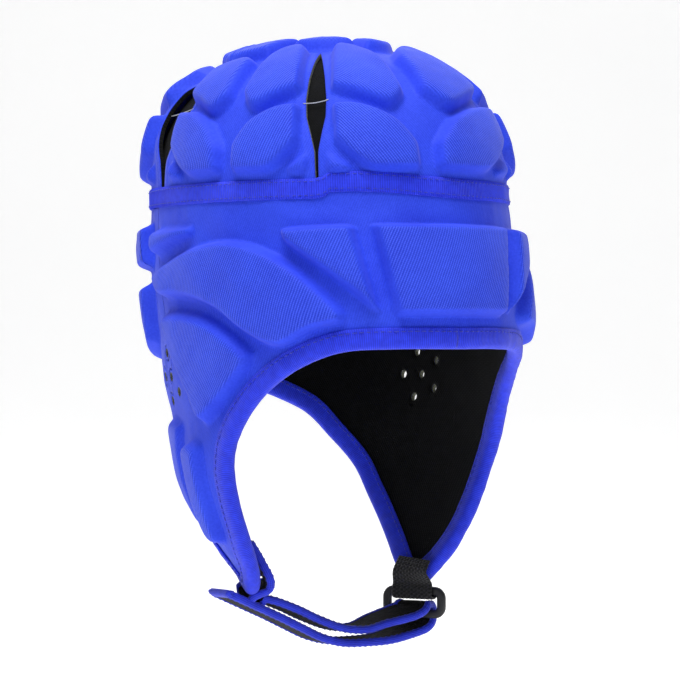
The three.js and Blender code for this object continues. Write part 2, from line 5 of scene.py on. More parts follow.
import bpy
import bmesh
import numpy as np
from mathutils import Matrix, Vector


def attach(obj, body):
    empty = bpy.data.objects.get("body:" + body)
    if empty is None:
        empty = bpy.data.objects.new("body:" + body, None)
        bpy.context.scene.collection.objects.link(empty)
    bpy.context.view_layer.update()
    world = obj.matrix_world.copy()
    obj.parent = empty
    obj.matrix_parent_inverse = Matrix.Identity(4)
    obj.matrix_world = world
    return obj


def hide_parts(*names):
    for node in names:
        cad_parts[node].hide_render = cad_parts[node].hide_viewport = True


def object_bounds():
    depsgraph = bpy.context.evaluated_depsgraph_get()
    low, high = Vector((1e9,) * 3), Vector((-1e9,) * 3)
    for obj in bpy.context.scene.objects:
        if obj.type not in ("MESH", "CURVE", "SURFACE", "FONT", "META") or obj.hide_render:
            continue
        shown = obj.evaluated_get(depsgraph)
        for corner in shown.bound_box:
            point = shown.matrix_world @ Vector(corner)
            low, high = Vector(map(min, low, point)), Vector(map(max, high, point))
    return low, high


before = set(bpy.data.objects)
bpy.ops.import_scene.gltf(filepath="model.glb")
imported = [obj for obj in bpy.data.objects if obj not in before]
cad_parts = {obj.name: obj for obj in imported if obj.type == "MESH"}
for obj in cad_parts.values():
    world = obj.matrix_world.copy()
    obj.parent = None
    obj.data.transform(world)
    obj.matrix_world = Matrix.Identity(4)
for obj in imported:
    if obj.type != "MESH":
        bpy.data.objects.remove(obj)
cad_box = [[float(x) for x in p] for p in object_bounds()]
MM = 0.001
FINE = 1.0
# a face whose chart spans more than this lies over the middle of the back
CHART_JUMP = 400.0
# chart of the lower body: mm a degree, and the angle where it keeps its place at every level
MM_A_DEGREE = 1.5
CHART_MIDDLE = 97.0
# charts of the petals: mm a radian across and up, mm a degree between them
PETAL_ACROSS = 84.0
PETAL_UP = 76.0
PETAL_APART = 3.1
# chart of the crown's lining: mm a degree round and up, and the level of its top
LINING_ROUND = 1.45
LINING_UP = 1.33
LINING_TOP = 120.0
# length of the ribbon's chart, in mm
RIBBON_CHART = 540.0

# head form and sheets, as in the CAD
HALF_LENGTH = 94.5
HALF_WIDTH = 74.5
CROWN_RISE = 68.0
CROWN_BACK = 5.0
CROWN_FULLNESS = 2.15
CROWN_SHOULDER = 2.4
LINING = 1.2
GAP = 0.3
FOAM_IN = 1.5
FOAM_OUT = 4.0
BODY_PAD = 7.6
CROWN_PAD = 6.8
PAD_SIDE = 4.4
PAD_DOME = 0.07
PAD_CORNER = 4.5
OUTLINE_STEP = 0.7
# slow and fine unevenness of the foam: height, length
WAVES = ((0.25, 26), (0.10, 9))
SEAM_GAP = 1.2
FLAP_DROP = 187.0
FLAP_FLARE = 7.0
BINDING_WIDTH = 8.0
BINDING_THICK = 1.2
BAND_WIDTH = 9.6
SLIT_WIDTH = 9.8
SLITS = (-42.0, 42.0, 109.0, 180.0, 251.0)
# the slits behind the ears are wider and end lower, and the foam beyond them stands proud
REAR_SLITS = (109.0, 251.0)
REAR_PETALS = (109, 180)
REAR_SLIT = 2.3
REAR_SLIT_SHORT = 1.75
REAR_SLIT_BEND = 35
REAR_LIFT = 2.4
REAR_FULL = 4.2
REAR_ANGLE = 130.0
REAR_SPREAD = 24

VENT_RADIUS = 2.2
VENT_RING = 12.0
VENT_COUNT = 5
VENT_ANGLE = 112.0
VENT_LEVEL = 0.455

STRAP_WIDTH = 20.0
STRAP_EDGE = 2.6
STRAP_HALF = 1.8
STRAP_STITCH = 3.0
STRAP_SAG = 21.5
SEWN_GAP = 3.4
LOOP_WINDOW = 25.6
LOOP_OPENING = 7.2
LOOP_BAR = 4.2
LOOP_DEPTH = 3.0
LOOP_CORNER = 5.5
LOOP_TURN = 30.0
TAB_WIDTH = 22.0
TAB_THICK = 1.5

# level sections: drop, length, width, back
SECTIONS = np.array([
    (0.000, 1.000, 1.000, 0), (0.120, 1.020, 1.020, -0.031), (0.250, 1.025, 1.025, -0.069),
    (0.370, 1.005, 1.003, -0.106), (0.524, 0.964, 0.967, -0.085), (0.675, 0.901, 0.919, -0.053),
    (0.780, 0.796, 0.840, -0.053), (0.880, 0.600, 0.725, -0.053), (0.958, 0.435, 0.605, -0.053),
    (1.030, 0.330, 0.530, -0.053)])

# lower edge: angle, drop, angle at the seam above
EDGE = np.array([
    (0, .376, 0), (20, .376, 20), (38, .384, 37), (52, .424, 51), (62.5, .485, 62), (70, .57, 70),
    (74, .67, 77), (75, .77, 82), (74, .87, 87), (76, .945, 91), (85, .995, 95), (97, .998, 100),
    (109, .95, 106), (119.5, .88, 114), (128, .785, 122), (134.5, .70, 130), (144, .625, 140),
    (157, .54, 155), (180, .487, 180)])

# body pads, rows of upper angle, upper drop, lower angle, lower drop; the first and last stand alone
MIDDLE_PADS = {
    "forehead": [(-26, .082, -21, .308), (-9, .082, -7, .308), (9, .082, 7, .308), (26, .082, 21, .308)],
    "nape": [(153.5, .080, 154, .425), (170, .080, 170, .415), (190, .080, 190, .415),
             (206.5, .080, 206, .425)],
}
SIDE_PADS = {
    "temple": [(31.5, .085, 25.5, .305), (40, .085, 35, .24), (54, .09, 53, .125)],
    "crescent": [(36, .297, 37, .325), (43, .235, 46, .338), (53, .168, 57, .378), (66, .122, 68, .345),
                 (80, .120, 79, .282), (97, .152, 92, .255), (111, .190, 107, .252)],
    "cheek": [(66, .398, 68, .430), (74, .345, 76, .520), (84, .303, 85, .572), (96, .288, 94, .495),
              (107, .290, 105, .385)],
    "jaw": [(86.5, .630, 87, .860), (93, .615, 94, .870), (99, .625, 100, .850)],
    "jaw_back": [(104, .580, 104.5, .830), (113, .560, 111, .820), (122, .575, 117, .770)],
    "seam_wedge": [(87, .080, 88, .098), (100, .078, 101, .128), (110, .078, 111, .150)],
    "back_upper": [(116, .062, 117, .172), (131, .062, 131, .180), (147, .062, 147, .182)],
    "back_lower": [(118, .212, 124, .365), (132, .216, 134, .410), (147, .216, 148, .425)],
}

# pads that stand less high than the others
LOW_PADS = {"jaw": 0.85, "jaw_back": 0.55}

# crown petals: from, middle, to
PETALS = [(-42, -6, 42), (42, 72, 109), (109, 145, 180), (180, 215, 251), (251, 288, 318)]
# turn of the cloth's grain on each petal, in degrees
PETAL_GRAIN = (-9, -41, 20, -20, 41)
# pads of half a petal: upper across, upper height, lower across, lower height
PETAL_PADS = [
    [(.10, 57, .07, 36), (.30, 65, .27, 29.5), (.60, 68, .58, 34), (.80, 66, .85, 37.5)],
    [(.07, 16, .07, 6), (.26, 25.5, .30, 5.5), (.56, 31, .56, 6.5), (.84, 32, .84, 16)],
    [(.68, 7.5, .68, 5), (.91, 13, .91, 5)],
]
TOP_CELL = [(-.78, 83.5, -.93, 72.5), (0, 84, 0, 71.8), (.78, 83.5, .93, 72.5)]
# beside and above the slits behind the ears: tops of the upper pad, share of the reach, the cell
REAR_TOPS = (57, 60, 57, 54)
REAR_CELL = [(-.78, 83.5, -.84, 66), (0, 84, 0, 59), (.78, 83.5, .84, 66)]
REAR_REACH = 0.88
CORNER_PAD = 0.6
# slit: height, share of its width
SLIT_ROWS = np.array([(1.5, 0), (3.5, .16), (13, .20), (19, .52), (27, .96), (35, 1), (46, .78),
                      (58, .42), (68, .10), (70, 0)])

# free run of the strap: across, level, ahead, turn
INNER_RUN = [(-.93, .08, -.27, 0), (-.72, .23, -.22, 0), (-.49, .42, -.15, 0), (-.245, .66, -.10, 0),
             (.077, .90, -.05, 0), (.34, .94, 0, 6), (.57, .79, .04, 16)]
OUTER_RUN = [(.86, 1.06, .12, 20), (.62, 1.20, .08, 10), (.32, 1.24, .02, 2), (.05, 1.22, -.05, 0),
             (-.20, 1.08, -.10, 0), (-.42, .86, -.16, 0), (-.67, .60, -.22, 0), (-.92, .36, -.27, 0),
             (-1.28, .02, -.32, 0)]

rng = np.random.default_rng(11)
WAVE_WAYS = rng.normal(size=(3, 16))
WAVE_WAYS /= np.linalg.norm(WAVE_WAYS, axis=0)
WAVE_STARTS = rng.uniform(0, 2 * math.pi, 16)


def ripple(p, size):
    """Smooth noise of about -1 to 1 at places p, with waves about `size` mm long."""
    return np.sin(p @ WAVE_WAYS * (2 * math.pi / size) + WAVE_STARTS).sum(-1) / 5


def smooth(keys, values, x):
    """Smooth curve through a table."""
    keys, values, x = (np.asarray(v, float) for v in (keys, values, x))
    n = len(keys)
    a, b = np.maximum(np.arange(n) - 1, 0), np.minimum(np.arange(n) + 1, n - 1)
    slope = (values[b] - values[a]) / (keys[b] - keys[a])
    i = np.clip(np.searchsorted(keys, x) - 1, 0, n - 2)
    h = keys[i + 1] - keys[i]
    s = (x - keys[i]) / h
    s2, s3 = s * s, s * s * s
    return ((2 * s3 - 3 * s2 + 1) * values[i] + (s3 - 2 * s2 + s) * h * slope[i]
            + (3 * s2 - 2 * s3) * values[i + 1] + (s3 - s2) * h * slope[i + 1])


def ramp(a, b, x):
    """0 at a, 1 at b, smooth between."""
    s = np.clip((x - a) / (b - a), 0, 1)
    return s * s * (3 - 2 * s)


def wrapped(angle):
    """The same angle from -180 to 180."""
    return (angle + 180) % 360 - 180


def rear_full(angle):
    """Extra fullness behind the ears, along the way (sin, -cos) of the angle."""
    return REAR_FULL * np.exp(-((np.abs(wrapped(angle)) - REAR_ANGLE) / REAR_SPREAD) ** 2)


def unit(v):
    return v / np.maximum(np.linalg.norm(v, axis=-1, keepdims=True), 1e-12)


def dot(a, b):
    return (a * b).sum(-1)


def run_along(p):
    """Distance of each place along a line from its start."""
    return np.r_[0, np.cumsum(np.linalg.norm(np.diff(p, axis=0), axis=1))]


def flat_places(x, y):
    """Flat places of a grid, from its two spread coordinates."""
    return np.stack(np.broadcast_arrays(x, y), -1).reshape(-1, 2)


def uneven(base):
    return sum(height * ripple(base, size) for height, size in WAVES)


def body_base(angle, drop):
    angle, drop = np.broadcast_arrays(np.asarray(angle, float), np.asarray(drop, float))
    length, width, back = (smooth(SECTIONS[:, 0], SECTIONS[:, k], drop) for k in (1, 2, 3))
    a = np.radians(angle)
    turned = wrapped(angle)
    flare = np.sign(turned) * FLAP_FLARE * ramp(0.42, 0.66, drop) * ramp(118, 60, np.abs(turned))
    full = rear_full(angle) * ramp(0.62, 0.42, drop)
    return np.stack([(HALF_WIDTH * width + full) * np.sin(a) + flare,
                     HALF_LENGTH * (back - length * np.cos(a)) - CROWN_BACK - full * np.cos(a),
                     -CROWN_RISE - SEAM_GAP - drop * FLAP_DROP], -1)


def crown_base(angle, height):
    angle, height = np.broadcast_arrays(np.asarray(angle, float), np.asarray(height, float))
    power = 2 / CROWN_FULLNESS
    s = np.maximum(np.sin(np.radians(height)), 0) ** power
    c = np.maximum(1 - s ** CROWN_SHOULDER, 0) ** (1 / CROWN_SHOULDER)
    a = np.radians(angle)
    full = rear_full(angle) * np.minimum(1.5 * c, 1)
    return np.stack([(HALF_WIDTH * c + full) * np.sin(a),
                     CROWN_BACK * (s - 1) - (HALF_LENGTH * c + full) * np.cos(a),
                     CROWN_RISE * (s - 1)], -1)


def body_normal(angle, drop):
    across = body_base(angle + 0.2, drop) - body_base(angle - 0.2, drop)
    along = body_base(angle, drop + 0.001) - body_base(angle, drop - 0.001)
    return -unit(np.cross(across, along))


def crown_normal(angle, height):
    height = np.clip(height, 0.3, 89.6)
    across = crown_base(angle + 0.2, height) - crown_base(angle - 0.2, height)
    along = crown_base(angle, height + 0.2) - crown_base(angle, height - 0.2)
    return unit(np.cross(across, along))


def on_body(angle, drop, out):
    angle, drop, out = np.broadcast_arrays(*(np.asarray(v, float) for v in (angle, drop, out)))
    return body_base(angle, drop) + body_normal(angle, drop) * out[..., None]


def on_crown(angle, height, out):
    angle, height, out = np.broadcast_arrays(*(np.asarray(v, float) for v in (angle, height, out)))
    return crown_base(angle, height) + crown_normal(angle, height) * out[..., None]


def slide(angle, drop, across, down):
    """Angle and drop of the place `across` mm round and `down` mm down from (angle, drop)."""
    p = body_base(angle, drop)
    u = (body_base(angle + 0.1, drop) - p) * 10
    v = (body_base(angle, drop + 0.001) - p) * 1000
    u_long = np.linalg.norm(u, axis=-1)
    skew = dot(u, v) / u_long
    v_long = np.sqrt(dot(v, v) - skew * skew)
    return angle + (across - down / v_long * skew) / u_long, drop + down / v_long


def edge_columns(n):
    """n columns round the lower edge, evenly spaced: angle, drop and seam angle of each."""
    at = np.arange(-1, len(EDGE) + 1)
    mirror = np.array([[-1, 1, -1]])
    table = np.vstack([EDGE[1:2] * mirror, EDGE, [[360, 0, 360]] + EDGE[-2:-1] * mirror])
    fine = np.linspace(0, len(EDGE) - 1, 4001)
    angle, drop, top = (smooth(at, table[:, k], fine) for k in range(3))
    low, high = body_base(angle, drop), body_base(top, 0)
    step = np.maximum(*(np.linalg.norm(np.diff(p, axis=0), axis=1) for p in (low, high)))
    run = np.r_[0, np.cumsum(step)]
    half = np.interp(np.linspace(0, run[-1], n // 2 + 1), run, fine)
    angle, drop, top = (smooth(at, table[:, k], half) for k in range(3))
    back = slice(-2, 0, -1)
    return (np.r_[angle, 360 - angle[back]], np.r_[drop, drop[back]], np.r_[top, 360 - top[back]])


def from_edge(angle, drop, inward, ahead=1):
    """Angle and drop `inward` mm inside the lower edge, at columns of the edge."""
    p = body_base(angle, drop)
    run = unit(np.roll(p, -ahead, 0) - np.roll(p, ahead, 0))
    n = body_normal(angle, drop)
    up = np.cross(n, run)
    u = unit(body_base(angle + 0.1, drop) - p)
    return slide(angle, drop, inward * dot(up, u), inward * dot(up, np.cross(u, n)))


# mesh making

def make(name, points, faces, uv=None, materials=(), which=None, extra=None, weld=0):
    mesh = bpy.data.meshes.new(name)
    mesh.from_pydata((np.asarray(points) * MM).tolist(), [], [list(map(int, f)) for f in faces])
    if uv is not None:
        layer = mesh.uv_layers.new(name="cloth")
        index = np.empty(len(mesh.loops), int)
        mesh.loops.foreach_get("vertex_index", index)
        flat = np.asarray(uv, float)[index]
        starts = np.empty(len(mesh.polygons), int)
        mesh.polygons.foreach_get("loop_start", starts)
        highest = np.maximum.reduceat(flat[:, 0], starts)
        lowest = np.minimum.reduceat(flat[:, 0], starts)
        counts = np.diff(np.r_[starts, len(index)])
        # at the middle of the back the chart ends at + and - the same width
        jump = np.repeat(highest - lowest > CHART_JUMP, counts)
        flat[:, 0] = np.where(jump, np.abs(flat[:, 0]), flat[:, 0])
        layer.data.foreach_set("uv", flat.ravel())
    for key, values in (extra or {}).items():
        layer = mesh.attributes.new(key, "FLOAT", "POINT")
        layer.data.foreach_set("value", np.asarray(values, float))
    for m in materials:
        mesh.materials.append(m)
    if which is not None:
        mesh.polygons.foreach_set("material_index", np.asarray(which, int))
    mesh.polygons.foreach_set("use_smooth", np.ones(len(mesh.polygons), bool))
    mesh.update()
    bm = bmesh.new()
    bm.from_mesh(mesh)
    if weld:
        bmesh.ops.remove_doubles(bm, verts=bm.verts, dist=weld)
    bmesh.ops.recalc_face_normals(bm, faces=bm.faces)
    bm.to_mesh(mesh)
    bm.free()
    piece = bpy.data.objects.new(name, mesh)
    bpy.context.scene.collection.objects.link(piece)
    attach(piece, "root")
    return piece


def quads(rows, columns, close_rows=False, close_columns=False, start=0):
    """Faces of a grid of rows x columns points, counted row by row."""
    r = np.arange(rows if close_rows else rows - 1)[:, None]
    c = np.arange(columns if close_columns else columns - 1)[None, :]
    r2, c2 = (r + 1) % rows, (c + 1) % columns
    return start + np.stack([r * columns + c, r * columns + c2, r2 * columns + c2, r2 * columns + c],
                            -1).reshape(-1, 4)


def between_rings(ring, other):
    """Faces between two closed rings of as many vertices."""
    return np.stack([ring, np.roll(ring, -1), np.roll(other, -1), other], 1)


def sweep(name, places, uv, material, closed=False):
    """Closed sections, one in each row of places, joined; the ends are capped unless closed."""
    rows, count = places.shape[:2]
    faces = [tuple(f) for f in quads(rows, count, closed, True)]
    if not closed:
        faces.append(tuple(range(count)))
        faces.append(tuple(range((rows - 1) * count, rows * count))[::-1])
    return make(name, places.reshape(-1, 3), faces, uv=uv, materials=[material])


# pads

def outline(rows, place):
    """Closed outline of a pad, evenly spaced, with rounded corners."""
    rows = np.asarray(rows, float)
    key = np.arange(len(rows))
    fine = np.linspace(0, len(rows) - 1, 12 * (len(rows) - 1) + 1)
    c = [smooth(key, rows[:, k], fine) for k in range(4)]
    loop = np.vstack([np.stack(c[:2], 1), np.stack(c[2:], 1)[::-1]])
    loop = np.vstack([loop, loop[:1]])
    run = run_along(place(loop[:, 0], loop[:, 1], FOAM_OUT))
    n = max(int(run[-1] / OUTLINE_STEP), 30)
    s = np.linspace(0, run[-1], n, endpoint=False)
    loop = np.stack([np.interp(s, run, loop[:, k]) for k in (0, 1)], 1)
    reach = int(PAD_CORNER / OUTLINE_STEP)
    weights = np.exp(-0.5 * (np.arange(-reach, reach + 1) / (0.45 * reach)) ** 2)
    weights /= weights.sum()
    return sum(w * np.roll(loop, k, 0) for w, k in zip(weights, range(-reach, reach + 1)))


def inside_by(loop, place, a, b, points):
    """Distance in mm of each place (a, b) to the outline, + inside."""
    edge = place(loop[:, 0], loop[:, 1], FOAM_OUT)
    nxt = np.roll(edge, -1, 0)
    along = nxt - edge
    long2 = dot(along, along)
    best = np.full(len(points), 1e9)
    inside = np.zeros(len(points), bool)
    u, v = loop[:, 0], loop[:, 1]
    u2, v2 = np.roll(u, -1), np.roll(v, -1)
    for k in range(len(loop)):
        w = points - edge[k]
        t = np.clip(w @ along[k] / long2[k], 0, 1)
        w -= t[:, None] * along[k]
        best = np.minimum(best, dot(w, w))
        if v[k] != v2[k]:
            hit = (v[k] > b) != (v2[k] > b)
            inside ^= hit & (a < (u2[k] - u[k]) * (b - v[k]) / (v2[k] - v[k]) + u[k])
    return np.where(inside, 1, -1) * np.sqrt(best)


def raised(pads, place, a, b, height):
    """Height of the pads, (share of height, rows) each, over the foam at places (a, b)."""
    points = place(a, b, FOAM_OUT)
    tall = np.zeros(a.shape)
    for share, rows in pads:
        loop = outline(rows, place)
        middle = loop[:, 0].mean()
        turned = wrapped(a - middle) + middle
        edge = place(loop[:, 0], loop[:, 1], FOAM_OUT)
        far = np.linalg.norm(edge - edge.mean(0), axis=1).max() + 6
        pick = np.linalg.norm(points - edge.mean(0), axis=-1) < far
        d = inside_by(loop, place, turned[pick], b[pick], points[pick])
        tall[pick] = np.maximum(tall[pick], share * height * shoulder(d))
    return tall


def shoulder(d):
    """Share of a pad's height at d mm inside its edge: steep side, round shoulder, slight dome."""
    s = np.clip(d / PAD_SIDE, 0, 1)
    dome = PAD_DOME * (1 - np.exp(-np.maximum(d - 4, 0) / 8))
    return (1 - (1 - s) ** 2.5) * (1 - PAD_DOME + dome)


def flatness(grid, normal):
    """1 where a grid of places lies along its base sheet, 0 where it is steep."""
    n = unit(np.cross(np.gradient(grid, axis=0), np.gradient(grid, axis=1)))
    return ramp(0.55, 0.93, np.abs(dot(n, normal)))


def weave_share(tall):
    """The weave is open on pads and pressed flat between them."""
    return 0.35 + 0.65 * ramp(0.3, 0.85, tall)


def soften(h, wrap):
    """Each height averaged with its neighbours', round the ring too where wrap is set."""
    if wrap:
        h = 0.5 * h + 0.25 * (np.roll(h, 1, 0) + np.roll(h, -1, 0))
    else:
        h[1:-1] = 0.5 * h[1:-1] + 0.25 * (h[2:] + h[:-2])
    h[:, 1:-1] = 0.5 * h[:, 1:-1] + 0.25 * (h[:, 2:] + h[:, :-2])
    return h


# materials

def linear(r, g, b):
    def one(v):
        v /= 255
        return v / 12.92 if v <= 0.04045 else ((v + 0.055) / 1.055) ** 2.4
    return (one(r), one(g), one(b), 1.0)


def grey(v):
    return (v, v, v, 1)


class Finish:
    """A material with a few short ways to add nodes."""

    def __init__(self, name, **sockets):
        self.material = bpy.data.materials.new(name)
        self.material.use_nodes = True
        self.tree = self.material.node_tree
        self.shader = self.tree.nodes["Principled BSDF"]
        for key, value in sockets.items():
            self.shader.inputs[key.replace("_", " ")].default_value = value

    def add(self, kind, inputs=None, **settings):
        node = self.tree.nodes.new(kind)
        for key, value in settings.items():
            setattr(node, key, value)
        for key, value in (inputs or {}).items():
            self.put(value, node.inputs[key])
        return node

    def put(self, value, socket):
        if isinstance(value, bpy.types.NodeSocket):
            self.tree.links.new(value, socket)
        else:
            socket.default_value = value

    def math(self, operation, *inputs):
        return self.add("ShaderNodeMath", dict(enumerate(inputs)), operation=operation).outputs[0]

    def place(self, source="Object"):
        return self.add("ShaderNodeTexCoord").outputs[source]

    def axes(self):
        """The two flat coordinates, in mm."""
        parts = self.add("ShaderNodeSeparateXYZ", {0: self.place("UV")})
        return parts.outputs[0], parts.outputs[1]

    def wave(self, x, y, angle, pitch):
        """Ribs of that pitch in mm across the direction `angle`, 0 to 1."""
        a = math.radians(angle)
        k = 2 * math.pi / pitch
        s = self.math("ADD", self.math("MULTIPLY", x, k * math.cos(a)),
                      self.math("MULTIPLY", y, k * math.sin(a)))
        return self.math("MULTIPLY_ADD", self.math("SINE", s), 0.5, 0.5)

    def noise(self, scale, detail=3.0):
        inputs = {"Vector": self.place(), "Scale": scale, "Detail": detail}
        return self.add("ShaderNodeTexNoise", inputs).outputs[0]

    def ramp(self, value, *stops):
        node = self.add("ShaderNodeValToRGB", {0: value})
        points = node.color_ramp.elements
        while len(points) < len(stops):
            points.new(0.5)
        for point, (at, colour) in zip(points, stops):
            point.position = at
            point.color = colour
        return node.outputs[0]

    def mix(self, share, a, b, way="MIX"):
        node = self.add("ShaderNodeMix", {0: share, 6: a, 7: b}, data_type="RGBA", blend_type=way)
        return node.outputs[2]

    def bump(self, height, depth, strength=1.0, after=None):
        inputs = {"Height": height, "Distance": depth * MM, "Strength": strength}
        if after is not None:
            inputs["Normal"] = after
        return self.add("ShaderNodeBump", inputs).outputs[0]

    def blend(self, a, share_a, b, share_b):
        return self.math("ADD", self.math("MULTIPLY", a, share_a), self.math("MULTIPLY", b, share_b))

    def crossed(self, angle, pitch, share=0.5):
        """Ribs in two mirrored directions, the first with that share of the height."""
        x, y = self.axes()
        return self.blend(self.wave(x, y, angle, pitch), share, self.wave(x, y, -angle, pitch), 1 - share)

    def between(self, value, low, high, start=0, end=1):
        """Roughness from low to high as the value goes from start to end."""
        return self.ramp(value, (start, grey(low)), (end, grey(high)))

    def done(self, colour=None, roughness=None, normal=None):
        for key, value in (("Base Color", colour), ("Roughness", roughness), ("Normal", normal)):
            if value is not None:
                self.put(value, self.shader.inputs[key])
        return self.material


def shell_fabric():
    f = Finish("shell_fabric", Sheen_Weight=0.12, Sheen_Roughness=0.4, Specular_IOR_Level=0.3)
    x, y = f.axes()
    # a slow wander keeps the twill lines from being ruler straight
    drift = f.math("MULTIPLY", f.noise(45, 2), 1.6)
    rib = f.wave(f.math("ADD", x, drift), y, 24, 1.1)
    bead = f.wave(x, y, 112, 0.9)
    # the weave shows on the flat tops and fades on steep sides, where the cloth is pulled
    flat = f.add("ShaderNodeAttribute", attribute_name="flat").outputs["Fac"]
    knit = f.blend(rib, 0.78, bead, 0.22)
    knit = f.math("ADD", f.math("MULTIPLY", f.math("SUBTRACT", knit, 0.5), flat), 0.5)
    # uneven dye and flecks, with painted shade in the weave's furrows and a painted highlight on its
    # ridges
    tone = f.ramp(f.noise(38, 3), (0.3, linear(31, 62, 222)), (0.7, linear(43, 77, 238)))
    # painted shade: the weave's furrows are darkened
    dark = f.ramp(knit, (0.08, (0.46, 0.50, 0.72, 1)), (0.55, (1, 1, 1, 1)))
    tone = f.mix(1.0, tone, dark, "MULTIPLY")
    # painted highlight: light colour added on the weave's ridges
    shine = f.ramp(knit, (0.6, (0, 0, 0, 1)), (1.0, linear(66, 84, 112)))
    tone = f.mix(1.0, tone, shine, "ADD")
    speck = f.ramp(f.noise(900, 2), (0.35, linear(30, 50, 200)), (0.65, linear(70, 94, 246)))
    tone = f.mix(0.18, tone, speck)
    normal = f.bump(knit, 0.2, 1.0, f.bump(f.noise(60, 2), 0.3))
    return f.done(tone, f.between(knit, 0.85, 0.6), normal)


def ribbon_fabric(name, light, dark, pitch):
    """Woven tape: fine ribs across it and a thread direction along it."""
    f = Finish(name, Sheen_Weight=0.15, Sheen_Roughness=0.5, Specular_IOR_Level=0.35)
    x, y = f.axes()
    rib = f.wave(x, y, 0, pitch)
    thread = f.wave(x, y, 90, pitch * 0.55)
    weave = f.blend(rib, 0.65, thread, 0.35)
    tone = f.ramp(weave, (0.1, dark), (0.75, light))
    tone = f.mix(0.3, tone, f.ramp(f.noise(300, 3), (0.35, dark), (0.65, light)))
    return f.done(tone, f.between(weave, 0.8, 0.55),
                  f.bump(weave, 0.18, 0.9, f.bump(f.noise(120, 2), 0.2)))


def lining_fabric():
    f = Finish("lining_fabric", Sheen_Weight=0.04, Sheen_Roughness=0.5, Specular_IOR_Level=0.12)
    mesh = f.crossed(35, 1.0)
    tone = f.ramp(mesh, (0.2, linear(2, 2, 3)), (0.8, linear(9, 10, 12)))
    tone = f.mix(0.3, tone, f.ramp(f.noise(250, 3), (0.35, linear(3, 4, 5)), (0.7, linear(20, 21, 26))))
    return f.done(tone, f.between(mesh, 0.95, 0.8), f.bump(mesh, 0.2))


def pile_fabric():
    f = Finish("strap_pile", Sheen_Weight=0.12, Sheen_Roughness=0.35, Specular_IOR_Level=0.12)
    fuzz = f.blend(f.noise(1500, 4), 0.6, f.noise(500, 4), 0.4)
    tone = f.ramp(fuzz, (0.35, linear(2, 2, 3)), (0.5, linear(9, 9, 12)), (0.68, linear(44, 44, 52)))
    return f.done(tone, 0.95, f.bump(fuzz, 0.8, 1.0))


def webbing():
    f = Finish("webbing", Sheen_Weight=0.2, Specular_IOR_Level=0.35)
    rib = f.crossed(58, 1.5, 0.6)
    tone = f.ramp(rib, (0.1, linear(5, 5, 7)), (0.9, linear(26, 26, 31)))
    return f.done(tone, f.between(rib, 0.9, 0.6), f.bump(rib, 0.35))


def moulded():
    f = Finish("loop_plastic", Specular_IOR_Level=0.5)
    grain = f.noise(1800, 3)
    tone = f.ramp(f.noise(90, 3), (0.3, linear(18, 18, 22)), (0.7, linear(27, 27, 32)))
    return f.done(tone, f.between(grain, 0.42, 0.6, 0.3, 0.7), f.bump(grain, 0.05, 0.6))


def foam_edge():
    f = Finish("foam_edge", Specular_IOR_Level=0.2)
    cell = f.add("ShaderNodeTexVoronoi", {"Vector": f.place(), "Scale": 1400.0}).outputs["Distance"]
    tone = f.ramp(cell, (0.1, linear(52, 54, 48)), (0.7, linear(116, 118, 104)))
    return f.done(tone, 0.9, f.bump(cell, 0.3))


def thread(name, light, dark):
    f = Finish(name, Sheen_Weight=0.2, Specular_IOR_Level=0.45)
    x, y = f.axes()
    twist = f.wave(x, y, 40, 0.35)
    return f.done(f.ramp(twist, (0.1, dark), (0.8, light)), 0.5, f.bump(twist, 0.06))


SHELL = shell_fabric()
LINING_CLOTH = lining_fabric()
BAND_CLOTH = ribbon_fabric("band_fabric", linear(38, 66, 250), linear(15, 30, 200), 1.1)
BINDING_CLOTH = ribbon_fabric("binding_fabric", linear(34, 62, 248), linear(14, 30, 195), 0.9)
STRAP_TAPE = ribbon_fabric("strap_tape", linear(32, 56, 228), linear(12, 24, 165), 0.9)
PILE = pile_fabric()
WEBBING = webbing()
PLASTIC = moulded()
FOAM = foam_edge()
BLUE_THREAD = thread("blue_thread", linear(46, 66, 226), linear(14, 24, 150))
BLACK_THREAD = thread("black_thread", linear(44, 44, 50), linear(10, 10, 13))
PALE_THREAD = thread("pale_thread", linear(206, 210, 222), linear(150, 154, 170))


# lower body

def body_grid(columns, rows, rim_rows):
    """Angle and drop of a grid from the seam to the lower edge, columns x rows."""
    angle, drop, top = edge_columns(columns)
    near = from_edge(angle, drop, BINDING_WIDTH)
    s = np.linspace(0, 1, rows + 1)[None, :]
    t = np.linspace(0, 1, rim_rows + 1)[None, 1:]
    a = top[:, None] * (1 - s) + near[0][:, None] * s
    b = near[1][:, None] * s
    a2 = near[0][:, None] * (1 - t) + angle[:, None] * t
    b2 = near[1][:, None] * (1 - t) + drop[:, None] * t
    return np.hstack([a, a2]), np.hstack([b, b2])


def cloth_uv(a, b):
    """Flat place in mm of (angle, drop) on the lower body, for the weave."""
    turned = np.abs(wrapped(a))
    length = smooth(SECTIONS[:, 0], SECTIONS[:, 1], b)
    length = 1 + (length - 1) * ramp(0, 60, np.minimum(turned, 180 - turned))
    u = np.sign(wrapped(a)) * MM_A_DEGREE * ((turned - CHART_MIDDLE) * length + CHART_MIDDLE)
    return np.stack([u, b * FLAP_DROP], -1)


def vent_places():
    for side in (1, -1):
        for k in range(VENT_COUNT + 1):
            turn = 2 * math.pi * k / VENT_COUNT
            ring = 0 if k == VENT_COUNT else VENT_RING
            a, b = slide(VENT_ANGLE, VENT_LEVEL, ring * math.cos(turn), ring * math.sin(turn))
            yield side * float(a), float(b)


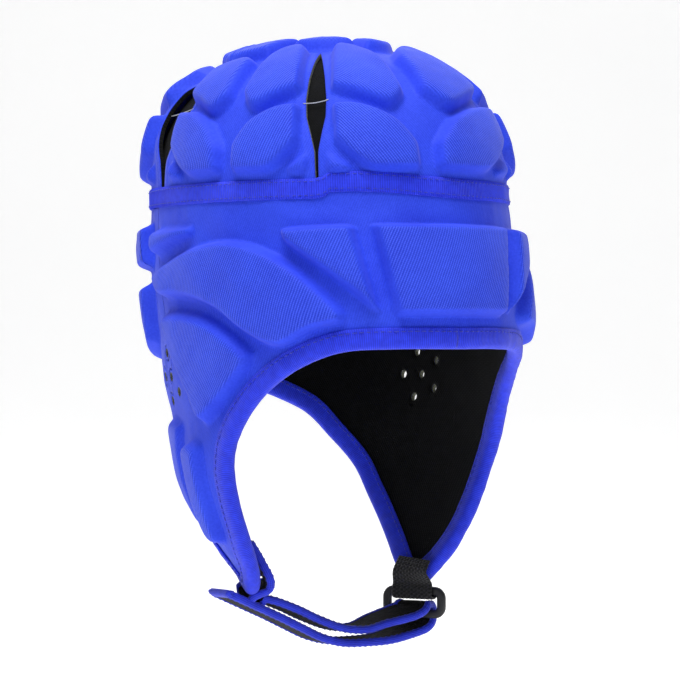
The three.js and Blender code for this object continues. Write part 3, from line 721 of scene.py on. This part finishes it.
def punch(points, faces, uv, layers):
    """Cuts the vents through grids of faces. layers: (first vertex, count, offset) of each sheet.

    Also gives the rings of vertices round each vent, one a sheet."""
    all_rings = []
    for va, vb in vent_places():
        rings = []
        p0 = body_base(va, vb)
        eu = unit(body_base(va + 0.1, vb) - p0)
        ev = np.cross(eu, body_normal(va, vb))
        for first, number, out in layers:
            centre = on_body(va, vb, out)
            own = points[first:first + number]
            local = np.stack([(own - centre) @ eu, (own - centre) @ ev], 1)
            close = np.zeros(len(points), bool)
            close[first:first + number] = np.linalg.norm(own - centre, axis=1) < VENT_RADIUS + 1.0
            cut = close[faces].any(1)
            gone = faces[cut]
            faces = faces[~cut]
            # the rim of what is gone has the sides that occur once
            sides = np.vstack([gone[:, [k, (k + 1) % 4]] for k in range(4)])
            _, where, times = np.unique(np.sort(sides, axis=1), axis=0, return_index=True,
                                        return_counts=True)
            rim = np.unique(sides[where[times == 1]])
            turn = np.arctan2(local[rim - first, 1], local[rim - first, 0])
            order = np.argsort(turn)
            rim, turn = rim[order], turn[order]
            ha, hb = slide(va, vb, VENT_RADIUS * np.cos(turn), VENT_RADIUS * np.sin(turn))
            new = len(points) + np.arange(len(rim))
            points = np.vstack([points, on_body(ha, hb, out)])
            uv = np.vstack([uv, cloth_uv(ha, hb)])
            faces = np.vstack([faces, between_rings(rim, new)])
            rings.append(new)
        all_rings.append(rings)
    return points, faces, uv, all_rings


def joined(ring, other, points):
    """Faces between two rings of points about the same middle."""
    near = [other[np.argmin(np.linalg.norm(points[other] - points[k], axis=1))] for k in ring]
    return [tuple(dict.fromkeys((ring[k - 1], ring[k], near[k], near[k - 1])))
            for k in [*range(1, len(ring)), 0]]


def side_body():
    a, b = body_grid(int(320 * FINE) * 2, int(142 * FINE), 6)
    n, r = a.shape
    pads = [(1, rows) for rows in MIDDLE_PADS.values()]
    for name, rows in SIDE_PADS.items():
        share = LOW_PADS.get(name, 1)
        pads.append((share, rows))
        pads.append((share, [(-ua, ub, -la, lb) for ua, ub, la, lb in rows]))
    tall = soften(raised(pads, on_body, a.ravel(), b.ravel(), BODY_PAD).reshape(n, r), True)
    tall = tall + np.clip(b * FLAP_DROP / 6, 0, 1) * uneven(body_base(a, b))
    points = on_body(a, b, FOAM_OUT + tall)
    flat = (flatness(points, body_normal(a, b)) * weave_share(tall / BODY_PAD)).ravel()
    points, faces, uv, rings = punch(points.reshape(-1, 3), quads(n, r, True),
                                     cloth_uv(a, b).reshape(-1, 2), [(0, n * r, FOAM_OUT)])
    faces = faces.tolist()
    first = len(faces)
    i = np.arange(n)
    for j in (0, r - 1):
        faces += between_rings(i * r + j, len(points) + i).tolist()
        points = np.vstack([points, on_body(a[:, j], b[:, j], FOAM_IN)])
        uv = np.vstack([uv, cloth_uv(a[:, j], b[:, j])])
    for (ring,), (va, vb) in zip(rings, vent_places()):
        faces += between_rings(ring, len(points) + np.arange(len(ring))).tolist()
        points = np.vstack([points, points[ring] - body_normal(va, vb) * (FOAM_OUT - FOAM_IN)])
        uv = np.vstack([uv, uv[ring]])
    which = np.zeros(len(faces), int)
    which[first:] = 1
    flat = np.r_[flat, np.ones(len(points) - len(flat))]
    piece = make("side_shell", points, faces, uv=uv, materials=[SHELL, FOAM], which=which,
                 extra={"flat": flat})
    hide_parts("side_body")


def area_of(points, faces):
    p = points[faces]
    return float((np.linalg.norm(np.cross(p[:, 1] - p[:, 0], p[:, 2] - p[:, 0]), axis=1)
                  + np.linalg.norm(np.cross(p[:, 2] - p[:, 0], p[:, 3] - p[:, 0]), axis=1)).sum() / 2)


def body_lining():
    a, b = body_grid(int(190 * FINE) * 2, int(84 * FINE), 4)
    n, r = a.shape
    wave = 0.12 * ripple(body_base(a, b), 22)
    points = np.vstack([on_body(a, b, LINING).reshape(-1, 3),
                        on_body(a, b, np.minimum(wave, 0.3)).reshape(-1, 3)])
    uv = np.vstack([cloth_uv(a, b).reshape(-1, 2)] * 2)
    faces = np.vstack([quads(n, r, True), quads(n, r, True, start=n * r)])
    points, faces, uv, rings = punch(points, faces, uv, [(0, n * r, LINING), (n * r, n * r, 0.0)])
    surface = area_of(points, faces) / 2
    faces = faces.tolist()
    for j in (0, r - 1):
        edge = np.arange(n) * r + j
        faces += between_rings(edge, n * r + edge).tolist()
    for outer_ring, inner_ring in rings:
        faces += joined(outer_ring, inner_ring, points)
    piece = make("side_lining", points, faces, uv=uv, materials=[LINING_CLOTH])
    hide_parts("body_lining")


# crown

def slit_half(angle, height):
    """Half width of a slit in degrees round the head, at heights."""
    p = on_crown(angle, height, FOAM_OUT)
    wide = 1
    if angle in REAR_SLITS:
        wide = REAR_SLIT
        height = height + (REAR_SLIT_SHORT - 1) * np.maximum(height - REAR_SLIT_BEND, 0)
    radius = np.hypot(p[..., 0], p[..., 1] + CROWN_BACK)
    return np.degrees(np.interp(height, *SLIT_ROWS.T) * wide * SLIT_WIDTH / 2 / radius)


def beside_slit(height):
    return (height > SLIT_ROWS[0, 0]) & (height < SLIT_ROWS[-1, 0])


def crown_heights(n):
    """n heights from the seam to the top, evenly spaced along the dome."""
    fine = np.linspace(0, 89.3, 2000)
    run = run_along(crown_base(40.0, fine))
    return np.interp(np.linspace(0, run[-1], n), run, fine)


def crown_pads():
    """Pads of the petals and the cells over the slits, as (share of height, rows)."""
    pads = []
    for start, middle, end in PETALS:
        for side in (start, end):
            rear = side in REAR_SLITS
            reach = (side - middle) * (REAR_REACH if rear else 1)
            for k, rows in enumerate(PETAL_PADS):
                tops = REAR_TOPS if rear and k == 0 else [r[1] for r in rows]
                pads.append((CORNER_PAD if k == 2 else 1,
                             [(middle + reach * r[0], top, middle + reach * r[2], r[3])
                              for r, top in zip(rows, tops)]))
    for k, (start, middle, end) in enumerate(PETALS):
        after = (PETALS[(k + 1) % 5][1] - middle) % 360 + middle
        cell = REAR_CELL if end in REAR_SLITS else TOP_CELL
        pads.append((1, [(end + u * (after - end if u > 0 else end - middle), top,
                          end + v * (after - end if v > 0 else end - middle), low)
                         for u, top, v, low in cell]))
    return pads


def petal(start, end, heights, across, pads):
    """Angles and heights of a petal's grid, height of its surface over the foam, and its lift."""
    left = (start + slit_half(start, heights))[:, None]
    right = (end - slit_half(end, heights))[:, None]
    f = np.linspace(0, 1, across)[None, :]
    a = left * (1 - f) + right * f
    h = np.repeat(heights[:, None], across, 1)
    tall = raised(pads, on_crown, a.ravel(), h.ravel(), CROWN_PAD)
    tall = soften(tall.reshape(a.shape).T.copy(), False).T
    arc = np.linalg.norm(crown_base(a + 0.5, h) - crown_base(a - 0.5, h), axis=-1)
    away = np.minimum(a - left, right - a) * arc
    # low welt beside the slits, whose very edge is pressed down
    tall += beside_slit(h) * (0.45 * np.exp(-((away - 4.2) / 0.8) ** 2) - 0.5 * np.exp(-away / 0.7))
    calm = np.clip(h / 4, 0, 1) * np.clip(away / 3, 0, 1) * np.clip((89 - h) / 5, 0, 1)
    tall += calm * uneven(crown_base(a, h))
    near_slit = (a - left if start == REAR_PETALS[0] else right - a) * arc
    lift = (REAR_LIFT * ramp(26, 2, near_slit) * ramp(4, 22, h) * ramp(53, 42, h)
            * (start in REAR_PETALS))
    return a, h, tall, lift


def petal_chart(a, h, middle, grain):
    """Flat places of a petal, turned by its grain and set apart from the other petals."""
    x = np.radians(a - middle) * np.cos(np.radians(h)) * PETAL_ACROSS
    y = np.radians(h) * PETAL_UP
    t = math.radians(grain)
    return np.stack([x * math.cos(t) - y * math.sin(t) + middle * PETAL_APART,
                     x * math.sin(t) + y * math.cos(t)], -1)


def crown_shell():
    heights = crown_heights(int(128 * FINE))
    across = int(108 * FINE)
    pads = crown_pads()
    rows = np.nonzero(beside_slit(heights))[0]
    rows = np.arange(max(rows[0] - 1, 0), rows[-1] + 2)
    columns = np.arange(across)
    points, uvs, faces, which, flats = [], [], [], [], []
    total = 0
    for (start, middle, end), grain in zip(PETALS, PETAL_GRAIN):
        a, h, tall, lift = petal(start, end, heights, across, pads)
        grid = on_crown(a, h, FOAM_OUT + tall + lift)
        chart = petal_chart(a, h, middle, grain)
        first = total
        points.append(grid.reshape(-1, 3))
        uvs.append(chart.reshape(-1, 2))
        flats.append((flatness(grid, crown_normal(a, h)) * weave_share(tall / CROWN_PAD)).ravel())
        new = quads(len(heights), across, start=first)
        faces += new.tolist()
        which += [0] * len(new)
        total += grid.shape[0] * across
        # walls of the two slits and the rim at the seam: rows, columns, depth, material, way round
        walls = [(rows, 0 * rows, FOAM_IN - 0.15, 2 if start == REAR_PETALS[1] else 1, -1),
                 (rows, 0 * rows + across - 1, FOAM_IN - 0.15, 2 if start in REAR_PETALS else 1, 1),
                 (0 * columns, columns, FOAM_IN, 1, 1)]
        for r, c, low, material, way in walls:
            ids = first + r * across + c
            k = np.arange(len(r) - 1)
            points.append(on_crown(a[r, c], h[r, c], low + lift[r, c]))
            uvs.append(chart[r, c])
            flats.append(np.ones(len(r)))
            faces += np.stack([ids[k], ids[k + 1], total + k + 1, total + k], 1)[:, ::way].tolist()
            which += [material] * len(k)
            total += len(r)
        # the petal's last row meets the others at the top
        last = first + (len(heights) - 1) * across
        points.append(np.array([[0, 0, FOAM_OUT]]))
        uvs.append(chart[-1].mean(0)[None])
        flats.append(np.ones(1))
        faces += [(last + j, last + j + 1, total) for j in range(across - 1)]
        which += [0] * (across - 1)
        total += 1
    piece = make("crown_shell", np.vstack(points), faces, uv=np.vstack(uvs),
                 materials=[SHELL, FOAM, LINING_CLOTH], which=which,
                 extra={"flat": np.concatenate(flats)}, weld=2e-6)
    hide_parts("crown")


def crown_lining():
    heights = crown_heights(int(56 * FINE))
    n, r = int(170 * FINE), len(heights)
    a = np.linspace(0, 360, n, endpoint=False)[:, None]
    h = heights[None, :]
    sheets = [on_crown(a, h, out).reshape(-1, 3) for out in (LINING, 0.0)]
    points = np.vstack(sheets + [[[0, 0, LINING]], [[0, 0, 0]]])
    faces = np.vstack([quads(n, r, True, start=k * n * r) for k in (0, 1)])
    faces = faces.tolist()
    edge = np.arange(n) * r
    faces += between_rings(edge, n * r + edge).tolist()
    for k in (0, 1):
        last = edge + k * n * r + r - 1
        faces += [(x, y, 2 * n * r + k) for x, y in zip(last, np.roll(last, -1))]
    chart = flat_places(a * LINING_ROUND * np.cos(np.radians(h) * 0.9), h * LINING_UP)
    uv = np.vstack([chart, chart, [[0, LINING_TOP]] * 2])
    piece = make("crown_inside", points, faces, uv=uv, materials=[LINING_CLOTH])
    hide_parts("crown_lining")


# trims

RIBS = 486
# section of the ribbon: level as a share of half the width, height over the foam
RIBBON_SECTION = np.array([(1.0, .10), (1.0, .65), (.93, .95), (.62, 1.1), (0, 1.15), (-.62, 1.1),
                           (-.93, .95), (-1.0, .65), (-1.0, .10), (-.5, .10), (.5, .10)])
# how far the ribbon climbs above the seam: angle, rise
RIBBON_RISE = np.array([(-180, 0), (-60, 0), (-43, 0), (-40, 0.8), (-38, 3.0), (-30, 3.2), (-20, 2.6),
                        (-8, 1.2), (6, 0.2), (14, 0), (180, 0)])


def ribbon_rise(angle):
    return np.interp(wrapped(angle), *RIBBON_RISE.T)


def by_seam(angle, level, out):
    """Place `level` mm above the crown's seam, or below it on the body."""
    up = np.degrees(np.arcsin(np.clip(np.maximum(level, 0.01) / CROWN_RISE, 0, 1) ** (CROWN_FULLNESS / 2)))
    high = on_crown(angle, up, out)
    low = on_body(angle, (-level - SEAM_GAP) / FLAP_DROP, out)
    return np.where((level > 0)[..., None], high, low)


def ribbon():
    n = RIBS * (6 if FINE == 1 else 4)
    a = np.linspace(0, 360, n, endpoint=False)[:, None]
    across, height = RIBBON_SECTION.T[:, None]
    rib = 0.5 * np.cos(2 * math.pi * RIBS * a / 360)
    level = across * BAND_WIDTH / 2 + ribbon_rise(a)
    frayed = 0.12 * np.sign(across) * rib
    thick = height + 0.22 * rib * (height > 0.5)
    wave = 0.15 * ripple(body_base(a, 0.0), 14)
    places = by_seam(np.repeat(a, len(RIBBON_SECTION), 1), level + frayed, FOAM_OUT + thick + wave)
    uv = flat_places(np.linspace(0, RIBBON_CHART, n)[:, None], level)
    piece = sweep("seam_ribbon", places, uv, BAND_CLOTH, closed=True)
    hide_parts("crown_band")


# section of the folded tape: mm inside the edge, offset from the head
TAPE_SECTION = np.array([
    (8.0, 4.25), (8.05, 4.95), (7.6, 5.35), (6.3, 5.1), (4.6, 5.6), (2.2, 5.7), (0.4, 5.35), (-0.9, 4.4),
    (-1.45, 3.1), (-1.55, 1.9), (-1.3, 0.5), (-0.6, -0.7), (0.6, -1.3), (2.4, -1.5), (4.6, -1.45),
    (6.3, -1.15), (7.6, -1.3), (8.05, -0.95), (8.0, -0.3), (4.0, -0.3), (0.2, -0.25), (-0.35, 0.6),
    (-0.45, 2.0), (-0.35, 3.5), (0.2, 4.2), (4.0, 4.25)])
# flat width of the tape: twice what lies on the foam, and the fold
TAPE_SEWN = 6.3
STITCH = 3.2
THREAD_SIDES = 6
THREAD_STEPS = 5
# a stitch's middle stands over the cloth by the first, its ends lie lower by the second
STITCH_RISE = 0.16
STITCH_DIP = 0.42
TACK_HEIGHT = 33.5
TACK_RADIUS = 0.24


def edge_tape():
    angle, drop, _ = edge_columns(int(430 * FINE) * 2)
    p = body_base(angle, drop)
    run = run_along(np.vstack([p, p[:1]]))
    long, s = run[-1], run[:-1]
    places = []
    wave = 0.18 * ripple(p, 17) + 0.10 * ripple(p, 6)
    pinch = 0.25 * (0.5 + 0.5 * np.cos(2 * math.pi * s / STITCH))
    for inward, out in TAPE_SECTION:
        a, b = from_edge(angle, drop, inward, 2)
        # the hidden inner face and the two cut edges stay straight
        loose = inward <= -0.5 or 0 < inward < 7.9 and abs(out) > 1
        lift = loose * (wave - pinch if inward == TAPE_SEWN else wave)
        places.append(on_body(a, b, out + (1 if out > 2 else -1) * lift))
    uv = flat_places(s[:, None], run_along(TAPE_SECTION)[None, :])
    piece = sweep("edge_tape", np.stack(places, 1), uv, BINDING_CLOTH, closed=True)
    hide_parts("edge_binding")
    a, b = from_edge(angle, drop, TAPE_SEWN, 2)
    rows = [(on_body(a, b, out), body_normal(a, b) * np.sign(out), True) for out in (5.2, -1.25)]
    stitches("tape_stitches", rows, 2.3, STITCH, 0.27, BLUE_THREAD)


def tube(parts, p, side, up, radius, run, wide):
    """Adds a round thread along p to parts, which are lists of points, faces and flat places."""
    points, faces, uv = parts
    turn = np.linspace(0, 2 * math.pi, THREAD_SIDES, endpoint=False)
    ring_ways = side[:, None] * np.cos(turn)[None, :, None] + up[:, None] * np.sin(turn)[None, :, None]
    start = len(points) * len(p) * THREAD_SIDES
    end = start + len(p) * THREAD_SIDES
    points.append((p[:, None] + radius * ring_ways).reshape(-1, 3))
    uv.append(flat_places(run[:, None], turn[None, :] * wide))
    faces += [tuple(f) for f in quads(len(p), THREAD_SIDES, False, True, start)]
    faces.append(tuple(range(start, start + THREAD_SIDES)))
    faces.append(tuple(range(end - THREAD_SIDES, end))[::-1])


def threads(name, parts, material):
    points, faces, uv = parts
    make(name, np.vstack(points), faces, uv=np.vstack(uv), materials=[material])


def stitches(name, rows, long, pitch, radius, material):
    """Short raised stitches along rows of (places, normals, closed)."""
    parts = [], [], []
    q = np.linspace(-1, 1, THREAD_STEPS)
    swell = radius * np.sqrt(np.maximum(1 - (0.94 * q) ** 4, 0.1))
    for line, normals, closed in rows:
        if closed:
            line, normals = np.vstack([line, line[:1]]), np.vstack([normals, normals[:1]])
        run = run_along(line)
        number = int(run[-1] / pitch)
        for k in range(number):
            s = (k + 0.2) * run[-1] / number + np.linspace(0, long, THREAD_STEPS)
            p, up = (np.stack([np.interp(s, run, v[:, j]) for j in range(3)], 1)
                     for v in (line, normals))
            up = unit(up)
            side = unit(np.cross(unit(np.gradient(p, axis=0)), up))
            p = p + up * (STITCH_RISE - STITCH_DIP * q * q)[:, None]
            tube(parts, p, side, up, swell[:, None, None], s, radius)
    threads(name, parts, material)


def ribbon_stitches():
    a = np.linspace(0, 360, 720, endpoint=False)
    rows = []
    for level in (0.72, -0.72):
        w = level * BAND_WIDTH / 2 + ribbon_rise(a)
        p = by_seam(a, w, FOAM_OUT + 1.18)
        rows.append((p, unit(by_seam(a, w, FOAM_OUT + 3.0) - p), True))
    stitches("ribbon_stitches", rows, 2.2, 3.0, 0.22, BLUE_THREAD)


# chin strap, loop and tab

def width_at(turn):
    t = math.radians(turn)
    return np.array([math.sin(t), -math.cos(t), 0.0])


def sewn_at(angle, drop, out):
    """Place under a flap's cloth, and the turn of the strap there."""
    along = on_body(angle + 1, drop, out) - on_body(angle - 1, drop, out)
    if along[1] > 0:
        along = -along
    return on_body(angle, drop, out), math.degrees(math.atan2(along[0], -along[1]))


TIP = EDGE[np.argmax(EDGE[:, 1])]
TIP_PLACE = on_body(TIP[0], TIP[1], FOAM_OUT / 2)
TIP_LOW = TIP_PLACE[2] - GAP - BINDING_THICK
LOOP_HEIGHT = LOOP_OPENING + 2 * LOOP_BAR
LOOP_CENTRE = np.array([TIP_PLACE[0], TIP_PLACE[1] - STRAP_WIDTH / 4,
                        TIP_LOW - 2 * GAP - LOOP_HEIGHT / 2])
LOOP_ALONG = width_at(LOOP_TURN)
LOOP_OUT = np.array([LOOP_ALONG[1], -LOOP_ALONG[0], 0.0])
UP = np.array([0.0, 0.0, 1.0])


def run_points(rows):
    """Places and turns of a free run of the strap."""
    return [(np.array([across * TIP_PLACE[0], TIP_PLACE[1] - ahead * STRAP_WIDTH,
                       TIP_LOW - level * STRAP_SAG]), turn) for across, level, ahead, turn in rows]


def round_bar(level, spare, start, end, step):
    """Places and turns round the ring's bar at that level, `spare` mm off it."""
    n = round(abs(end - start) / step)
    places = []
    for k in range(n + 1):
        s = math.radians(start + (end - start) * k / n)
        square = (math.cos(s) ** 4 + math.sin(s) ** 4) ** -0.25
        places.append((LOOP_CENTRE + LOOP_OUT * (LOOP_DEPTH / 2 + spare) * square * math.cos(s)
                       + UP * (level + (LOOP_BAR / 2 + spare) * square * math.sin(s)), LOOP_TURN))
    return places


def along_line(places, per):
    """Smooth line through places: points, then directions along, across and out of the strap."""
    p = np.array([x[0] for x in places])
    turns = np.array([x[1] for x in places])
    ends = np.vstack([2 * p[0] - p[1], p, 2 * p[-1] - p[-2]])
    line, turn = [], []
    for k in range(len(p) - 1):
        q = ends[k:k + 4]
        d = np.maximum(np.linalg.norm(np.diff(q, axis=0), axis=1) ** 0.5, 1e-4)
        t1 = ((q[1] - q[0]) / d[0] - (q[2] - q[0]) / (d[0] + d[1]) + (q[2] - q[1]) / d[1]) * d[1]
        t2 = ((q[2] - q[1]) / d[1] - (q[3] - q[1]) / (d[1] + d[2]) + (q[3] - q[2]) / d[2]) * d[1]
        for w in np.linspace(0, 1, per, endpoint=False):
            line.append((2 * w ** 3 - 3 * w ** 2 + 1) * q[1] + (w ** 3 - 2 * w ** 2 + w) * t1
                        + (3 * w ** 2 - 2 * w ** 3) * q[2] + (w ** 3 - w ** 2) * t2)
            turn.append(turns[k] + (turns[k + 1] - turns[k]) * w)
    line.append(p[-1])
    turn.append(turns[-1])
    line, turn = np.array(line), np.array(turn)
    for _ in range(3):
        turn[1:-1] = 0.5 * turn[1:-1] + 0.25 * (turn[2:] + turn[:-2])
    way = unit(np.gradient(line, axis=0))
    wide = np.array([width_at(t) for t in turn])
    wide = unit(wide - way * dot(wide, way)[:, None])
    return line, way, wide, unit(np.cross(way, wide))


def strip(name, line, wide, face, section, material, swell=0):
    """Section of (across, out) points swept along a line."""
    section = np.asarray(section, float)
    off = section[None, :, 1] + swell
    places = line[:, None] + wide[:, None] * section[None, :, :1] + face[:, None] * off[..., None]
    uv = flat_places(run_along(section)[None, :], run_along(line)[:, None])
    return sweep(name, places, uv, material)


def chin_strap():
    level = -(LOOP_OPENING + LOOP_BAR) / 2
    inside = -(GAP + BINDING_THICK + SEWN_GAP + STRAP_HALF)
    sewn = [sewn_at(-TIP[0], TIP[1] - s, inside) for s in (0.10, 0.05, 0.0)]
    places = (sewn + run_points(INNER_RUN) + round_bar(level, 2.5 * GAP + STRAP_HALF, 35, 235, 28)
              + run_points(OUTER_RUN))
    line, way, wide, face = along_line(places, 10 if FINE == 1 else 6)
    core = STRAP_WIDTH / 2 - STRAP_EDGE + 0.4
    across = np.linspace(-core, core, 13)
    bulge = 1.55 + 0.12 * (1 - (across / core) ** 2)
    section = np.vstack([np.stack([across, bulge], 1), np.stack([across, -bulge], 1)[::-1]])
    piece = strip("chin_strap_pile", line, wide, face, section, PILE)
    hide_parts("chin_strap")
    edge = STRAP_WIDTH / 2
    half = [(edge - STRAP_EDGE, 1.75), (edge - 1.9, 1.9), (edge - 0.9, 1.8), (edge - 0.25, 1.2),
            (edge, 0.45)]
    side = half + [(x, -y) for x, y in half[::-1]] + [(edge - STRAP_EDGE, 0)]
    pinch = 0.06 * np.cos(2 * math.pi * run_along(line) / STRAP_STITCH)[:, None]
    swell = pinch * np.sign([y for _, y in side])[None, :]
    tapes = [strip(name, line, wide, face, [(sign * x, y) for x, y in side], STRAP_TAPE,
                   swell)
             for sign, name in ((1, "strap_tape_front"), (-1, "strap_tape_rear"))]
    # tape over the free end, thinner at both corners
    y = np.linspace(-edge, edge, 14)
    fold = [(1.6, 0.5), (1.1, 1.5), (-1.6, 1.85), (-1.6, -1.85), (1.1, -1.5), (1.6, -0.5)]
    places = np.array([[line[-1] + way[-1] * (a + 0.6) + face[-1] * b
                        * min(1, 0.55 + (edge - abs(t)) * 0.5) + wide[-1] * t for a, b in fold]
                       for t in y])
    uv = flat_places(y[:, None], np.arange(len(fold))[None, :] * 1.2)
    tapes.append(sweep("strap_tape_end", places, uv, STRAP_TAPE))
    for tape in tapes:
        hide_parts("strap_binding")
    run_along(line)[-1] * MM
    rows = [(line + wide * x + face * out * 1.9, face * out, False)
            for x in (edge - 2.0, -edge + 2.0) for out in (1, -1)]
    stitches("strap_stitches", rows, 2.0, STRAP_STITCH, 0.18, BLUE_THREAD)


def loop_tab():
    level = (LOOP_OPENING + LOOP_BAR) / 2
    inside = -(GAP + BINDING_THICK + SEWN_GAP + TAB_THICK / 2)
    sewn = [sewn_at(TIP[0] - 8, TIP[1] - s, inside) for s in (0.045, 0.015)]
    places = sewn + round_bar(level, 2.5 * GAP + TAB_THICK / 2, 50, -180, 46)
    line, _, wide, face = along_line(places, 10)
    half = TAB_WIDTH / 2
    across = np.linspace(-half + 0.4, half - 0.4, 45)
    top = 0.62 + 0.13 * np.cos(across * 2 * math.pi / 1.9)
    section = np.vstack([[[-half, 0]], np.stack([across, top], 1), [[half, 0]],
                         np.stack([across, -top], 1)[::-1]])
    piece = strip("ring_tab", line, wide, face, section, WEBBING)
    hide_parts("loop_tab")
    run_along(line)[-1] * MM
    spread = np.linspace(-half + 1.5, half - 1.5, 30)[:, None]
    rows = [(line[k] + wide[k] * spread + face[k] * out * 0.8, np.repeat(out * face[k:k + 1], 30, 0),
             False) for k in (4, 7) for out in (-1, 1)]
    stitches("tab_stitches", rows, 1.9, 2.7, 0.2, BLACK_THREAD)


def ring():
    w = LOOP_WINDOW / 2 + LOOP_BAR / 2
    h = (LOOP_OPENING + LOOP_BAR) / 2
    r = LOOP_CORNER - LOOP_BAR / 2 + 0.3
    path = []
    corners = ((w - r, h - r, 0), (-w + r, h - r, 90), (-w + r, -h + r, 180), (w - r, -h + r, 270))
    for cx, cy, start in corners:
        for t in np.linspace(start, start + 90, 9):
            t = math.radians(t)
            path.append((cx + r * math.cos(t), cy + r * math.sin(t), math.cos(t), math.sin(t)))
    more = []
    for k, q in enumerate(path):
        nxt = path[(k + 1) % len(path)]
        gap = math.hypot(nxt[0] - q[0], nxt[1] - q[1])
        n = max(int(gap / 1.2), 1)
        for s in np.arange(n) / n:
            more.append([q[j] + (nxt[j] - q[j]) * s for j in range(4)])
    path = np.array(more)
    # rounded bar: along the path's normal, through the ring
    turn = np.linspace(0, 2 * math.pi, 20, endpoint=False)
    square = (np.cos(turn) ** 4 + np.sin(turn) ** 4) ** -0.25
    sx, sy = LOOP_BAR / 2 * square * np.cos(turn), LOOP_DEPTH / 2 * square * np.sin(turn)
    flat = path[:, None, :2] + path[:, None, 2:] * sx[None, :, None]
    places = LOOP_CENTRE + LOOP_ALONG * flat[..., :1] + UP * flat[..., 1:] + LOOP_OUT * sy[None, :, None]
    uv = flat_places(np.arange(len(path))[:, None], turn[None, :] * 2)
    piece = sweep("ring", places, uv, PLASTIC, closed=True)
    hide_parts("strap_loop")


def slit_threads():
    """One pale tacking thread over each slit."""
    parts = [], [], []
    q = np.linspace(-1, 1, 9)
    for angle in SLITS:
        a = angle + slit_half(angle, TACK_HEIGHT) * 1.25 * q
        h = TACK_HEIGHT + 0.8 * q
        p = on_crown(a, h, FOAM_OUT + 0.15 - 0.9 * (1 - q * q))
        up = unit(on_crown(a, h, 6.0) - on_crown(a, h, 4.0))
        side = unit(np.cross(unit(np.gradient(p, axis=0)), up))
        tube(parts, p, side, up, TACK_RADIUS, q * 5, TACK_RADIUS)
    threads("slit_threads", parts, PALE_THREAD)


# camera, light and floor

CAMERA_TURN = -32
CAMERA_FAR = 1.5
CAMERA_LENS = 163.6
FLOOR_GAP = 0.05
FLOOR_SIZE = 4.0
WORLD_LIGHT = 0.18
PAPER_GLOW = 0.42


def studio():
    scene = bpy.context.scene
    turn = math.radians(CAMERA_TURN)
    back = Vector((math.sin(turn), -math.cos(turn), 0))
    right = Vector((math.cos(turn), math.sin(turn), 0))
    target = Vector((0, -0.015, -0.137)) - right * 0.001
    camera = bpy.data.objects.new("camera", bpy.data.cameras.new("camera"))
    camera.data.lens = CAMERA_LENS
    camera.data.sensor_width = 36
    camera.location = target + back * CAMERA_FAR
    camera.rotation_euler = (target - camera.location).to_track_quat("-Z", "Y").to_euler()
    scene.collection.objects.link(camera)
    scene.camera = camera
    # floor that bends up behind the cap
    floor_z = cad_box[0][2] - FLOOR_GAP
    line = [(-FLOOR_SIZE, floor_z), (1, floor_z)]
    for k in range(1, 13):
        t = math.radians(90 * k / 12)
        line.append((1 + math.sin(t), floor_z + 1 - math.cos(t)))
    line.append((2, floor_z + 5))
    points = []
    for u, z in line:
        for v in (-FLOOR_SIZE, FLOOR_SIZE):
            p = -back * u + right * v
            points.append((p.x, p.y, z))
    faces = [(2 * k, 2 * k + 1, 2 * k + 3, 2 * k + 2) for k in range(len(line) - 1)]
    mesh = bpy.data.meshes.new("sweep")
    mesh.from_pydata(points, [], faces)
    mesh.polygons.foreach_set("use_smooth", np.ones(len(mesh.polygons), bool))
    floor = bpy.data.objects.new("sweep", mesh)
    scene.collection.objects.link(floor)
    f = Finish("paper")
    f.done(f.ramp(f.noise(3, 2), (0.3, grey(0.90)), (0.7, grey(0.93))), 0.9)
    f.shader.inputs["Emission Color"].default_value = (1, 1, 1, 1)
    f.shader.inputs["Emission Strength"].default_value = PAPER_GLOW
    mesh.materials.append(f.material)
    world = bpy.data.worlds.new("studio")
    world.use_nodes = True
    sky = world.node_tree.nodes["Background"]
    sky.inputs[0].default_value = (1, 1, 1, 1)
    sky.inputs[1].default_value = WORLD_LIGHT
    scene.world = world
    # name, place from the target, size, power
    lights = [("key", back * 0.45 - right * 0.15 + Vector((0, 0, 1.25)), 0.7, 18.5),
              ("fill", back * 1.1 + right * 0.5 + Vector((0, 0, 0.15)), 0.9, 1.4),
              ("rim", back * -0.9 + Vector((0, 0, 0.7)), 0.8, 3)]
    for name, place, size, power in lights:
        data = bpy.data.lights.new(name, "AREA")
        data.size = size
        data.energy = power
        lamp = bpy.data.objects.new(name, data)
        lamp.location = target + place
        lamp.rotation_euler = (-place).to_track_quat("-Z", "Y").to_euler()
        scene.collection.objects.link(lamp)
    scene.view_settings.view_transform = "Standard"


studio()
side_body()
body_lining()
crown_shell()
crown_lining()
ribbon()
edge_tape()
ribbon_stitches()
slit_threads()
ring()
chin_strap()
loop_tab()
